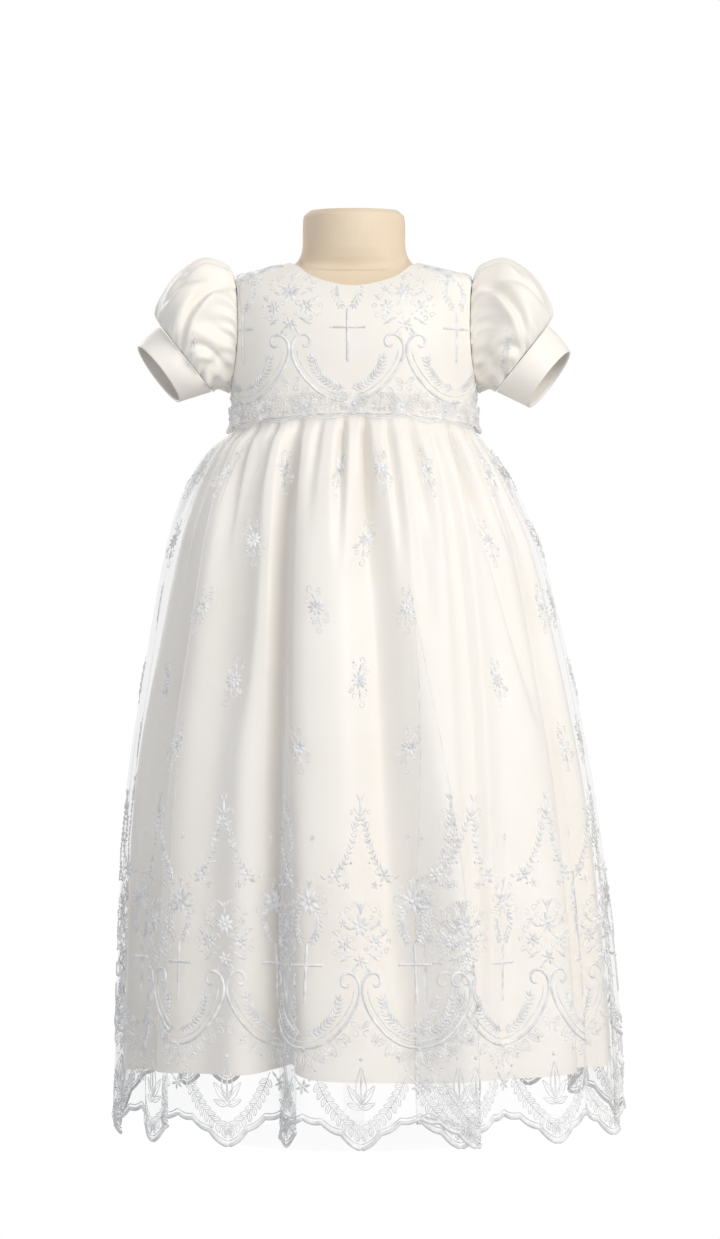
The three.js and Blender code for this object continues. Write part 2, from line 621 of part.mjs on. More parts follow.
// The waist trim lies on the bodice above the seam and flares over the gathers below it.
function trimSheet(bearing, share) {
  const scallop = TRIM_SCALLOP * Math.abs(Math.sin((TRIM_SCALLOPS / 2) * bearing));
  const up = lerp(-TRIM_BELOW - scallop, TRIM_ABOVE, share);
  const seam = waistRise(bearing);
  const point = bodicePoint(bearing, seam + Math.max(0, up));
  const below = Math.max(0, -up);
  const flare = (TRIM_FLARE * below) / (TRIM_BELOW + TRIM_SCALLOP);
  const out = new THREE.Vector3(point.x, point.y, 0).setLength(flare);
  return point.add(out).setZ(point.z - below);
}
function trimWall(from, to) {
  const steps = Math.round(((to - from) / FULL_TURN) * TRIM_SCALLOPS * TRIM_COLUMNS_PER_SCALLOP);
  const us = spread(from, to, steps);
  const edge = SEAM_GAP / SKIRT[0].front;
  us[0] += edge;
  us[steps] -= edge;
  const lift = SEAM_GAP + TRIM_WALL;
  const step = { u: 0.02, v: 0.02 };
  return clothWall({ sheet: trimSheet, us, vs: TRIM_SHARES, step, wall: TRIM_WALL, lift });
}

// The strip and buttons down the centre back.
function placketWall() {
  const us = spread(Math.PI - PLACKET.halfBearing, Math.PI + PLACKET.halfBearing, 2);
  const sheet = (bearing, share) => bodicePoint(bearing, lerp(PLACKET.low, PLACKET.high, share));
  const lift = SEAM_GAP + PLACKET.wall;
  const step = { u: 0.02, v: 0.004 };
  return clothWall({ sheet, us, vs: PLACKET_SHARES, step, wall: PLACKET.wall, lift });
}
function buttonGeometry() {
  const profile = [
    new THREE.Vector2(0, 0),
    new THREE.Vector2(BUTTON.radius, 0),
    new THREE.Vector2(BUTTON.radius, BUTTON.rim),
    new THREE.Vector2(BUTTON.face, BUTTON.height),
    new THREE.Vector2(0, BUTTON.height),
  ];
  return new THREE.LatheGeometry(profile, BUTTON.sides);
}

// The places of a path on a cloth wall, with one more wherever it crosses a column or a row of the wall.
function brokenPath({ us, vs }, path) {
  const places = [path[0]];
  for (let i = 1; i < path.length; i++) {
    const [from, to] = [path[i - 1], path[i]];
    const columns = us.map((u) => (u - from.u) / (to.u - from.u));
    const rows = vs.map((v) => (v - from.v) / (to.v - from.v));
    const inside = (t) => t > NEAREST_CROSSING && t < 1 - NEAREST_CROSSING;
    for (const t of [...columns, ...rows].filter(inside).sort((a, b) => a - b)) {
      places.push({ u: lerp(from.u, to.u, t), v: lerp(from.v, to.v, t) });
    }
    places.push(to);
  }
  return places;
}

// A cord of three-sided section along a path on a cloth wall's facets.
function cordSolid(panel, path) {
  const facets = brokenPath(panel, path).map(({ u, v }) => facetAt(panel, u, v));
  const points = [];
  facets.forEach(({ point, normal }, i) => {
    const before = facets[Math.max(i - 1, 0)].point;
    const after = facets[Math.min(i + 1, facets.length - 1)].point;
    const sideways = normal.clone().cross(after.clone().sub(before)).setLength(CORD.width / 2);
    const foot = point.clone().addScaledVector(normal, CORD.gap);
    points.push(foot.clone().add(sideways), foot.clone().sub(sideways));
    points.push(foot.clone().addScaledVector(normal, CORD.height));
  });
  const triangles = [[0, 1, 2]];
  for (let i = 0; i < facets.length - 1; i++) {
    for (let k = 0; k < 3; k++) {
      const [a, b] = [3 * i + k, 3 * i + ((k + 1) % 3)];
      triangles.push([a, a + 3, b + 3], [a, b + 3, b]);
    }
  }
  const last = points.length - 3;
  triangles.push([last, last + 2, last + 1]);
  return toSolid(closedGeometry(points, triangles));
}

// Cords joined in one piece and trimmed to lie just clear of the wall that carries them.
function joinedCords(panel, paths) {
  const cords = paths.map((path) => cordSolid(panel, path)).reduce((all, cord) => all.add(cord));
  const clearance = clothWall({ ...panel, wall: panel.wall + SEAM_GAP, lift: SEAM_GAP });
  return toGeometry(cords.subtract(toSolid(clearance)));
}

// The border's cords on one net panel: a scroll and a cross in each repeat, touching in a chain.
function borderCords(panel) {
  const first = Math.round(panel.us[0]);
  const last = first + 2 * SEAM_REPEATS;
  const place = (repeat, up) => {
    const u = clamp(repeat, first + SCROLL_SEAM_EDGE, last - SCROLL_SEAM_EDGE);
    return { u, v: 1 - (up - scallopLift(u)) / (netLength(u) - backRise(u)) };
  };
  const paths = [];
  for (let middle = first + 0.5; middle < last; middle++) {
    const half = (side) => SCROLL.map(({ across, up }) => place(middle + side * across, up));
    paths.push([...half(-1).reverse(), ...half(1).slice(1)]);
    paths.push([place(middle, CROSS.foot), place(middle, CROSS.head)]);
    paths.push([place(middle - CROSS.halfArm, CROSS.arm), place(middle + CROSS.halfArm, CROSS.arm)]);
  }
  return joinedCords(panel, paths);
}

// The bodice's cords: a cross in the middle and a mirrored pair of scrolls on each side of it.
function bodicePlace(degrees, rise) {
  const bearing = degToRad(degrees);
  const seam = waistRise(bearing);
  return { u: bearing, v: (rise - seam) / (BODICE_TOP - seam) };
}
function bodiceCords(paths) {
  const us = spread(-QUARTER_TURN, QUARTER_TURN, BODICE_COLUMNS / 2);
  return joinedCords({ ...BODICE_SHELL, closed: false, us }, paths);
}
function bodiceScrollPair(centre) {
  const place = (side) => ({ bearing, rise }) => bodicePlace(centre + side * bearing, rise);
  const scrolls = [-1, 1].map((side) => BODICE_SCROLL.map(place(side)));
  const link = [-1, 1].map((side) => place(side)(BODICE_SCROLL_LINK));
  return bodiceCords([...scrolls, link]);
}
function bodiceCross() {
  const { bearing, foot, head, arm, halfArm } = BODICE_CROSS;
  const post = [bodicePlace(bearing, foot), bodicePlace(bearing, head)];
  const bar = [bodicePlace(bearing - halfArm, arm), bodicePlace(bearing + halfArm, arm)];
  return bodiceCords([post, bar]);
}

// The form is one smooth body, parted by the tilted seam under its neck.
function formPieces() {
  const whole = toSolid(loftSolid(bodyPoint, FORM_RISES, FORM_COLUMNS));
  const above = (gap) => {
    const corner = new THREE.Vector3(BEYOND, BEYOND, BEYOND);
    const box = boxBetween(new THREE.Vector3(-BEYOND, -BEYOND, gap), corner);
    return toSolid(box.rotateX(FORM_SEAM.tilt).translate(0, 0, WAIST_Z + FORM_SEAM.rise));
  };
  return {
    form_torso: toGeometry(whole.subtract(above(0))),
    form_neck: toGeometry(whole.intersect(above(SEAM_GAP))),
  };
}

// The pole and round base that carry the form.
function poleGeometry() {
  const low = BASE.thickness + SEAM_GAP;
  const high = WAIST_Z + BODY[0].rise - SEAM_GAP;
  const pole = new THREE.CylinderGeometry(POLE.radius, POLE.radius, high - low, POLE.sides);
  return pole.rotateX(QUARTER_TURN).translate(0, 0, (low + high) / 2);
}
function baseGeometry() {
  const profile = [
    new THREE.Vector2(0, 0),
    new THREE.Vector2(BASE.radius, 0),
    new THREE.Vector2(BASE.radius, BASE.thickness - BASE.chamfer),
    new THREE.Vector2(BASE.radius - BASE.chamfer, BASE.thickness),
    new THREE.Vector2(0, BASE.thickness),
  ];
  return new THREE.LatheGeometry(profile, BASE.sides).rotateX(QUARTER_TURN);
}

const gown = new THREE.Group();

function addPiece(name, geometry, material) {
  const mesh = new THREE.Mesh(geometry, new THREE.MeshStandardMaterial(MATERIALS[material]));
  mesh.name = name;
  gown.add(mesh);
  return mesh;
}

function addAll(pieces, material) {
  for (const [name, geometry] of Object.entries(pieces)) {
    addPiece(name, geometry, material);
  }
}

addAll(formPieces(), "form");
addPiece("stand_pole", poleGeometry(), "stand");
addPiece("stand_base", baseGeometry(), "stand");
addAll(bodicePanels(), "satin");

for (const sleeve of SLEEVES) {
  addPiece(`sleeve_${sleeve.name}`, sleeveWall(sleeve), "satin");
  addPiece(`cuff_${sleeve.name}`, cuffWall(sleeve), "satin");
}

addPiece("waist_trim_front", trimWall(-QUARTER_TURN, QUARTER_TURN), "thread");
addPiece("waist_trim_back_right", trimWall(QUARTER_TURN, Math.PI), "thread");
addPiece("waist_trim_back_left", trimWall(Math.PI, 3 * QUARTER_TURN), "thread");

addPiece("back_placket", placketWall(), "satin");
BUTTON_RISES.forEach((rise, i) => {
  const button = addPiece(`back_button_${i + 1}`, buttonGeometry(), "button");
  const normal = sheetNormal(bodicePoint, Math.PI, rise, BODY_STEP);
  button.position.copy(bodicePoint(Math.PI, rise)).addScaledVector(normal, PLACKET.wall + 2 * SEAM_GAP);
  button.quaternion.setFromUnitVectors(new THREE.Vector3(0, 1, 0), normal);
});

addPiece("underskirt_front", clothWall(liningPanel(-QUARTER_TURN)), "satin");
addPiece("underskirt_back", clothWall(liningPanel(QUARTER_TURN)), "satin");

const netFront = netPanel(-SEAM_REPEATS);
const netBack = netPanel(SEAM_REPEATS);
addPiece("overskirt_front", clothWall(netFront), "net");
addPiece("overskirt_back", clothWall(netBack), "net");
addPiece("border_cord_front", borderCords(netFront), "thread");
addPiece("border_cord_back", borderCords(netBack), "thread");
addPiece("bodice_cross", bodiceCross(), "thread");
addPiece("bodice_scroll_left", bodiceScrollPair(BODICE_SCROLL_BEARINGS.left), "thread");
addPiece("bodice_scroll_right", bodiceScrollPair(BODICE_SCROLL_BEARINGS.right), "thread");

export default gown;
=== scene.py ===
"""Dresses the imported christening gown: satin, embroidered net, lace trim and the dress form under them.

Sizes are in millimetres until a mesh is made. X runs to the viewer's right, Y away from the viewer, Z up.
Bearings run round the form in radians from 0 at the front, positive towards +X.
Left and right are the viewer's.
"""

import math

import bpy
import numpy as np
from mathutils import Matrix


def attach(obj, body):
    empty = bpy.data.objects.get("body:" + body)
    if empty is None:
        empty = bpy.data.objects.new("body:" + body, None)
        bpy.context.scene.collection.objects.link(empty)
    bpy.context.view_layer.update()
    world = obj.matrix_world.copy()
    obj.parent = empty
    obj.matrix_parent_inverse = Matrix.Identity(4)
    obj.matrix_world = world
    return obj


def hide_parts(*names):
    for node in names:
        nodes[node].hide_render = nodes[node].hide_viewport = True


MM = 0.001
TURN = 2 * math.pi
QUARTER = math.pi / 2

# The photograph's frame: what it shows from top to bottom, and where the lens is
FRAME_HEIGHT = 924
LENS_DISTANCE = 4000
LENS_X = 4.5
LENS_Z = 387
SENSOR = 36

# Lengths of the gown
SKIRT_LENGTH = 526
LINING_LENGTH = 476
WAIST_Z = 532
WAIST_RISE = 9
WAIST_GAP = 0.9
SEAM_LAP = 1.8
BODICE_TOP = 118.5
BODICE_WALL = 2

# Rows: height above the waist, half width, half depth, squareness, ease of the bodice
BODY = [
    (-148, 30, 24, 2.1, 4),
    (-145, 58, 43, 2.2, 4),
    (-134, 76, 56, 2.3, 4),
    (-112, 86, 63, 2.3, 4),
    (-72, 89, 66, 2.3, 4),
    (-32, 86, 61, 2.3, 4),
    (0, 85, 57.5, 2.3, 4),
    (25, 86.5, 59.5, 2.35, 3.2),
    (60, 88, 60, 2.4, 2.4),
    (86, 88.5, 55, 2.4, 1.6),
    (101, 88, 44, 2.3, 0.9),
    (109, 84, 35, 2.2, 0.7),
    (114, 66, 32, 2.1, 0.6),
    (118.5, 47, 32, 2, 0.6),
    (124, 41, 34, 2, 0.6),
    (132, 38.5, 36, 2, 0.6),
    (155, 37.5, 36.5, 2, 0.6),
    (159.5, 33, 32, 2, 0.6),
]
FORM_SEAM_RISE = 124.5
FORM_SEAM_SLOPE = math.tan(math.radians(20))
NECK_HOLE = {"half_width": 48, "half_depth": 43.5, "y": -4}
ARMHOLE = {"half_depth": 30, "half_height": 42, "rise": 66.5, "from_x": 60}

# Rows: drop below the waist, reach to the left, right, front and back, squareness, how far in the lining lies
SKIRT = [
    (0, 91, 91, 63.5, 63.5, 2.3, 1.3),
    (6, 92, 92, 64.5, 64.5, 2.3, 1.6),
    (18, 106, 101, 76, 78, 2.25, 5),
    (36, 119, 114, 88, 92, 2.2, 7.5),
    (55, 129, 124, 98, 102, 2.15, 8),
    (92, 141, 140, 111, 116, 2.1, 7.5),
    (167, 155, 160, 127, 132, 2.05, 7),
    (279, 172, 182, 143, 148, 2, 6.5),
    (428, 179, 199, 155, 160, 2, 6.5),
    (540, 182, 204, 158, 164, 2, 6.5),
]

# Rows: bearing at waist and hem, depth at the hem, half width, share of the skirt where the valley dies out
VALLEYS = [
    (-63, -68, 12, 9, 2),
    (-46, -34, 10, 6, 0.5),
    (-28, -22, 22, 6.5, 2),
    (3, 11, 12, 8, 1.1),
    (52, 37, 11, 6.5, 2),
    (46, 66, 8, 6, 0.5),
    (66, 67, 13, 7, 2),
    (90, 90, 8, 7, 2),
    (112, 110, 16, 7, 2),
    (137, 135, 12, 8, 2),
    (160, 163, 18, 7, 2),
    (186, 189, 13, 8, 2),
    (212, 214, 17, 7, 2),
    (238, 236, 12, 7, 2),
    (266, 266, 8, 7, 2),
]

FOLD_SCALE = 1.25
VALLEY_GROWTH = 0.6

# Creases of the satin alone. Rows: bearing at waist and hem, depth, half width on the left and on the right,
# shares of the skirt where the crease is full and where it dies out, sharpness of its edges
CREASES = [
    (-80, -78, 2.5, 20, 18, 0.12, 0.45, 2),
    (-62, -74, 11, 6, 6, 0.25, 2, 2),
    (-46, -41, 16, 8, 10, 0.22, 1.3, 2),
    (-44, -31, 6, 3, 3, 0.1, 0.45, 2),
    (-28.5, -19.5, 14, 4, 4.2, 0.1, 2, 8),
    (3, 10.5, 13, 6, 5, 0.18, 0.9, 2),
    (24, 20, 5, 3, 3, 0.1, 0.35, 2),
    (42, 28, 9, 5, 3, 0.2, 1.2, 3),
    (44, 64, 8, 3.5, 3.5, 0.12, 0.5, 2),
    (72, 70, 7, 5, 4, 0.3, 2, 3),
    (98, 96, 8, 4, 6, 0.2, 2, 2),
    (120, 116, 13, 3.4, 3.6, 0.12, 2, 5),
    (146, 143, 8, 5, 4, 0.15, 0.9, 2),
    (168, 166, 10, 4, 3.5, 0.2, 2, 3),
    (196, 199, 9, 3.5, 5, 0.2, 1.4, 2),
    (222, 221, 13, 3.6, 3.4, 0.12, 2, 5),
    (248, 246, 8, 4, 5, 0.15, 0.8, 2),
]

MAIN_FOLD = math.radians(-19.5)
MAIN_FOLD_HALF = math.radians(6)

# Lapped folds of the net. Rows: bearing at waist and hem, width of net taken up, swing, lift, side on top
PLEATS = [
    (-26, -16.5, 12, 5, 2.4, -1),
    (8, 19.5, 14, 9, 2.4, 1),
    (-50, -49, 11, 3, 1.2, 1),
    (76, 76, 11, 3, 1.2, -1),
    (122, 122, 13, 6, 2.2, 1),
    (175, 176, 12, 6, 2, -1),
    (226, 226, 13, 6, 2.2, 1),
    (282, 282, 11, 3, 1.2, -1),
]

# Where a lap is full, how early it bends to its place at the hem, and what brings its swing to a peak of 1
PLEAT_FULL = 0.9
PLEAT_BEND = 4
SWING_PEAK = 1.54

GATHERS = 32
GATHER_DEPTH = 4.4
GATHER_START = 18
GATHER_END = 120
GATHER_CREST = 0.5
GATHER_GROOVE = 1.7

# Unevenness of the gathers. Rows: share, waves round the waist, phase
GATHER_DEPTH_WAVES = [(0.35, 7, 1), (0.25, 13, 2.2)]
GATHER_REACH_WAVES = [(0.3, 5, 0.6)]

# The border lace: its repeats round the hem, and the scallops with smaller lobes along each one
REPEATS = 18
FRONT_TIP = math.radians(1.5)
BORDER_DROP = SKIRT_LENGTH - 60
SCALLOP_DEPTH = 22
LOBES = 6
LOBE_DEPTH = 2.2

# Behind the side seams the net's hem hangs higher, fully up at this share of the way back
BACK_HEM_LIFT = 24
BACK_LIFT_FULL = 0.7

# Rows: share from armhole to cuff, top x and rise, low x and rise, half depth, gathers, lean forward
SLEEVE = [
    (0, 89, 108, 90.5, 25.1, 29.4, 0, 0),
    (0.12, 97, 118, 93, 25, 33, 1.2, 0),
    (0.28, 109.5, 122.5, 96, 25.5, 38, 1.2, 1),
    (0.44, 122, 119.5, 99, 26.5, 41, 0.6, 2),
    (0.6, 134, 110, 101.5, 27, 42, 0.6, 3),
    (0.76, 143, 95.5, 103.5, 26.5, 40, 1, 4),
    (0.9, 147, 81, 105.5, 25.5, 34, 1.4, 5),
    (1, 143.5, 73, 106.5, 26.2, 29, 0.6, 5),
]
SLEEVE_GATHERS = 10
SLEEVE_FINE_GATHERS = 23
SLEEVE_FINE_DEPTH = 1.2
ARMHOLE_BLEND = 0.24
ARMHOLE_STAND_OFF = 30

# The cuff's mouth: top x and rise, low x and rise, half depth, lean forward
CUFF_MOUTH = (161, 58, 130, 17, 28, 9)
CUFF_FACE = 4.2
CUFF_EASE = 1.4
CUFF_GAP = 0.8
CUFF_CLOTH_GAP = 1.5
CUFF_WAVE = 0.8
CUFF_BOW = 0.5

# Which way a sleeve points, and how much lower its cuff's mouth hangs
SIDES = {"left": (-1, 0), "right": (1, 4)}

# Soft creases of the puff sleeves. Rows: angle round the sleeve from its top edge, share along,
# reach round in radians, reach along, lean of the crease, depth
SLEEVE_CREASES = [
    (0.25, 0.3, 0.13, 0.24, 0.9, 3.6),
    (0.62, 0.58, 0.12, 0.26, -0.5, 4.4),
    (0.95, 0.26, 0.12, 0.2, 1.1, 4.2),
    (1.2, 0.52, 0.12, 0.3, 0.8, 4.8),
    (1.62, 0.3, 0.13, 0.24, -0.6, 3.2),
    (1.85, 0.62, 0.11, 0.24, -0.8, 4.4),
    (2.2, 0.4, 0.13, 0.26, 0.6, 3),
    (2.65, 0.6, 0.13, 0.24, 0.4, 2.6),
    (-0.4, 0.5, 0.13, 0.26, -0.6, 3),
    (-0.9, 0.34, 0.12, 0.24, 0.8, 3.2),
    (-1.3, 0.6, 0.12, 0.26, 0.6, 3.2),
    (-1.75, 0.36, 0.13, 0.24, -0.6, 3),
    (-2.2, 0.55, 0.13, 0.26, 0.4, 2.8),
    (-2.7, 0.4, 0.13, 0.24, -0.3, 2.4),
]

# A crease pushes up a ridge beside it: its share of the depth, and its place in reaches from the crease
RIDGE_SHARE = 0.5
RIDGE_PLACE = 1.6

TRIM_ABOVE = 14
TRIM_BELOW = 3
TRIM_SCALLOP = 3.5
TRIM_SCALLOPS = 16
TRIM_FLARE = 3.2
TRIM_LIFT = 1.3

PLACKET = {"half_bearing": math.radians(6), "low": 16, "high": 105, "lift": 1.3}
PLACKET_EDGE = 0.3
PLACKET_ROUNDING = 5
BUTTON_RISES = (30, 62, 90)
BUTTON_SIDES = 32
BUTTON_LIFT = 1.6

# A button's outline, with its rim and its dome. Rows: radius, height
BUTTON_PROFILE = [
    (0, 0), (4.6, 0), (5, 0.5), (5, 1.2), (4.7, 1.7),
    (4.1, 1.75), (3.7, 1.6), (2.6, 2.4), (1.2, 2.9), (0.01, 3),
]

# The bodice's lace is cut from the border lace, with a cross left of the middle and its height
# drawn in a little. The margins keep it off the waist seam, the neck's edge and the armholes.
BODICE_LACE = {"repeats": 6, "cross_bearing": math.radians(-3), "foot": 73.5, "foot_rise": 15.7, "scale": 0.9}
LACE_LEVEL = 60.0
LACE_MARGINS = {"waist": 4, "neck": 1.5, "armhole": 1.03}

# Steps along the two directions of a surface that its normals are taken from
BODY_STEP = (0.02, 0.4)
BAND_STEP = (0.01, 0.3)
BORDER_STEP = (0.004, 0.4)
NET_STEP = (0.002, -0.4)
SLEEVE_STEP = 0.01
CUFF_STEP = 0.02


def read_table(rows, at):
    """Every column of a table after the first, along the first, on a smooth curve through the rows."""
    rows = np.array(rows, float)
    keys = rows[:, 0]
    last = len(rows) - 1
    at = np.clip(np.asarray(at, float), keys[0], keys[-1])
    i = np.clip(np.searchsorted(keys, at) - 1, 0, last - 1)
    before = np.maximum(np.arange(last + 1) - 1, 0)
    after = np.minimum(np.arange(last + 1) + 1, last)
    slopes = (rows[after] - rows[before]) / (keys[after] - keys[before])[:, None]
    span = (keys[i + 1] - keys[i])[..., None]
    f = ((at - keys[i]) / span[..., 0])[..., None]
    blend = rows[i] + (rows[i + 1] - rows[i]) * (3 * f**2 - 2 * f**3)
    leave = slopes[i] * span * f * (1 - f) ** 2
    arrive = slopes[i + 1] * span * f**2 * (1 - f)
    return np.moveaxis((blend + leave - arrive)[..., 1:], -1, 0)


def smoothstep(x, low, high):
    t = np.clip((x - low) / (high - low), 0, 1)
    return t * t * (3 - 2 * t)


def bearing_offset(start, end):
    """The signed angle from one bearing to another, the short way round."""
    return np.mod(end - start + math.pi, TURN) - math.pi


def joined(x, y, z):
    return np.stack(np.broadcast_arrays(x, y, z), axis=-1)


def oval(bearing, left, right, front, back, square):
    """X and Y on a rounded oval whose reach differs on its four sides."""
    s = np.sin(bearing)
    c = np.cos(bearing)
    scale = (np.abs(s) ** square + np.abs(c) ** square) ** (-1 / square)
    return scale * s * np.where(s < 0, left, right), -scale * c * np.where(c > 0, front, back)


def normals(surface, u, v, du, dv):
    """Unit normals of a surface by small steps along its two directions."""
    along_u = surface(u + du, v) - surface(u - du, v)
    along_v = surface(u, v + dv) - surface(u, v - dv)
    cross = np.cross(along_u, along_v)
    return cross / np.linalg.norm(cross, axis=-1, keepdims=True)


def waist_rise(bearing):
    return WAIST_RISE * np.maximum(0, np.cos(bearing)) ** 2


def body_point(bearing, rise):
    width, depth, square, _ = read_table(BODY, rise)
    x, y = oval(bearing, width, width, depth, depth, square)
    return joined(x, y, WAIST_Z + rise)


def bodice_point(bearing, rise):
    """The bodice's outer face, over the form with its ease and one wall between."""
    ease = read_table(BODY, rise)[3]
    out = normals(body_point, bearing, rise, *BODY_STEP)
    return body_point(bearing, rise) + out * (ease + BODICE_WALL)[..., None]


def fold_centre(waist, hem, share):
    """The bearing of a fold's middle, which moves from its waist bearing to its hem bearing."""
    return np.radians(waist + (hem - waist) * np.sqrt(share))


def valley_depth(bearing, share):
    depth = 0
    for waist, hem, deep, half, end in VALLEYS:
        offset = bearing_offset(fold_centre(waist, hem, share), bearing) / math.radians(half)
        fade = 1 - smoothstep(share, end / 2, end)
        depth = depth + FOLD_SCALE * deep * fade * share**VALLEY_GROWTH * np.exp(-(offset**2))
    return depth


def crease_depth(bearing, share):
    depth = 0
    for waist, hem, deep, left, right, full, end, sharp in CREASES:
        offset = np.degrees(bearing_offset(fold_centre(waist, hem, share), bearing))
        offset = offset / np.where(offset < 0, left, right)
        grow = smoothstep(share, 0, full) * (1 - smoothstep(share, end / 2, end))
        depth = depth + deep * grow * np.exp(-(np.abs(offset) ** sharp))
    return depth


def uneven(bearing, waves):
    """A factor near 1 that changes round the waist."""
    total = 1
    for share, count, phase in waves:
        total = total + share * np.sin(count * bearing + phase)
    return total


def gather_height(bearing, drop):
    """Gathers run unevenly down from the waist seam: some are deeper and some reach further."""
    reach = GATHER_END * uneven(bearing, GATHER_REACH_WAVES)
    grow = smoothstep(drop, 0, GATHER_START) * (1 - smoothstep(drop, GATHER_START, reach))
    turn = GATHERS * bearing + np.sin(3 * bearing)
    groove = GATHER_GROOVE * ((1 - np.cos(turn)) / 2) ** 3
    return GATHER_DEPTH * uneven(bearing, GATHER_DEPTH_WAVES) * grow * (GATHER_CREST - groove)


def pleat_move(bearing, share):
    """The sideways swing and the lift of the net at its lapped folds."""
    swing = 0
    lift = 0
    grow = smoothstep(share, 0, PLEAT_FULL)
    bend = 1 - (1 - np.clip(share, 0, 1)) ** PLEAT_BEND
    for waist, hem, width, sway, rise, side in PLEATS:
        centre = np.radians(waist + (hem - waist) * bend)
        x = bearing_offset(centre, bearing) / math.radians(width)
        near = np.clip(x, -0.5, 0.5)
        peak = grow * math.radians(sway) * SWING_PEAK
        swing = swing - peak * np.sin(TURN * near) * np.cos(math.pi * near) ** 2
        reach = np.cos(math.pi / 4 * np.clip(x, -2, 2)) ** 2
        lift = lift + grow * rise * (1 - side * np.sin(math.pi * near)) * reach
    return swing, lift


def skirt_point(bearing, drop, lift, seam_bearing, lined):
    """A point of the net, or of the lining inside it, by bearing and drop below the waist seam."""
    share = np.maximum(0, drop / SKIRT_LENGTH)
    left, right, front, back, square, inset = read_table(SKIRT, drop)
    x, y = oval(bearing, left, right, front, back, square)
    radius = np.hypot(x, y)
    move = lift - valley_depth(bearing, share) + gather_height(bearing, drop)
    if lined:
        move = move - inset - crease_depth(bearing, share)
    scale = 1 + move / radius
    return joined(x * scale, y * scale, WAIST_Z + waist_rise(seam_bearing) - WAIST_GAP - drop)


def net_point(bearing, drop):
    swing, lift = pleat_move(bearing, drop / SKIRT_LENGTH)
    return skirt_point(bearing + swing, drop, lift, bearing, False)


def lining_point(bearing, drop):
    return skirt_point(bearing, drop, 0, bearing, True)


def arc_lengths(points):
    steps = np.linalg.norm(np.diff(points, axis=0), axis=1)
    return np.concatenate([[0], np.cumsum(steps)])


NET_STEPS = 3600
NET_BEARINGS = np.linspace(-math.pi, math.pi, NET_STEPS + 1)
LEVEL_GAP = 10
LEVEL_END = 570
LEVELS = np.arange(0, LEVEL_END, LEVEL_GAP)


def net_levels():
    """At each level down the net, the bearings of threads an even step apart, from the front tip's thread."""
    rows = []
    for level in LEVELS:
        lengths = arc_lengths(net_point(NET_BEARINGS, np.full(NET_STEPS + 1, float(level))))
        rounds = lengths / lengths[-1]
        tip = np.interp(FRONT_TIP, NET_BEARINGS, rounds)
        start = np.linspace(0, 1, NET_STEPS + 1) + tip
        wrap = np.floor(start)
        rows.append(np.interp(start - wrap, rounds, NET_BEARINGS) + wrap * TURN)
    return np.array(rows)


NET_LEVELS = net_levels()
BORDER_LENGTH = arc_lengths(net_point(NET_BEARINGS, np.full(NET_STEPS + 1, float(BORDER_DROP))))[-1]
REPEAT_WIDTH = BORDER_LENGTH / REPEATS


def thread_bearing(repeat, drop):
    """The bearing of a thread of the net at a drop. Threads lie evenly along the net, in all its folds."""
    share = np.asarray(repeat) / REPEATS
    wrap = np.floor(share)
    across = (share - wrap) * NET_STEPS
    j = np.minimum(across.astype(int), NET_STEPS - 1)
    down = np.clip(np.asarray(drop) / LEVEL_GAP, 0, len(LEVELS) - 1.001)
    i = down.astype(int)
    f = across - j
    g = down - i
    upper = NET_LEVELS[i, j] * (1 - f) + NET_LEVELS[i, j + 1] * f
    lower = NET_LEVELS[i + 1, j] * (1 - f) + NET_LEVELS[i + 1, j + 1] * f
    return upper * (1 - g) + lower * g + wrap * TURN


def repeat_bearing(repeat):
    """The bearing of a lace repeat at the border."""
    return thread_bearing(repeat, BORDER_DROP)


def bearing_repeat(bearing):
    """The lace repeat at a bearing within half a turn of the front."""
    repeats = np.linspace(-REPEATS / 2, REPEATS / 2, NET_STEPS + 1)
    return np.interp(bearing, repeat_bearing(repeats), repeats)


def edge_up(repeat):
    """Height of the net's scalloped edge above the scallops' tips."""
    scallop = SCALLOP_DEPTH * np.abs(np.sin(math.pi * repeat))
    return scallop - LOBE_DEPTH * np.abs(np.sin(LOBES * math.pi * repeat))


def drop_at(bearing, up):
    """Drop below the waist seam of a place given by its height above the scallops' tips."""
    lift = BACK_HEM_LIFT * smoothstep(-np.cos(bearing), 0, BACK_LIFT_FULL)
    return SKIRT_LENGTH + waist_rise(bearing) - WAIST_GAP - lift - up


def border_point(repeat, up):
    drop = drop_at(repeat_bearing(repeat), up)
    return net_point(thread_bearing(repeat, drop), drop)


# Flat stitches. Each is a pair: points (across, up, height off the cloth) and triangles.
def moved(stitch, across=0, up=0, mirror=1, scale=1, turn=0):
    points, faces = stitch
    flat = points[:, :2] * (mirror, 1) * scale
    c = math.cos(turn)
    s = math.sin(turn)
    turned = np.stack([c * flat[:, 0] - s * flat[:, 1], s * flat[:, 0] + c * flat[:, 1]], axis=1)
    placed = np.column_stack([turned + (across, up), points[:, 2]])
    return placed, faces if mirror > 0 else faces[:, ::-1]


def smooth_path(points, step):
    """A curve through a few points, with a point about every step."""
    points = np.array(points, float)
    keys = arc_lengths(points)
    count = max(2, int(round(keys[-1] / step)))
    return np.stack(read_table(np.column_stack([keys, points]), np.linspace(0, keys[-1], count + 1)), axis=1)


def strip_faces(rows, columns):
    """Triangles of a grid of points, row after row."""
    i, j = np.meshgrid(np.arange(rows - 1), np.arange(columns - 1), indexing="ij")
    a = (i * columns + j).ravel()
    b = a + columns
    return np.concatenate([np.stack([a, a + 1, b + 1], 1), np.stack([a, b + 1, b], 1)])


# A cord's section in half widths and heights, its height for a width, and its size at its ends
CORD_SECTION = [(-1, 0), (-0.45, 0.95), (0.45, 0.95), (1, 0)]
CORD_HEIGHT = 0.4
CORD_END = 0.35


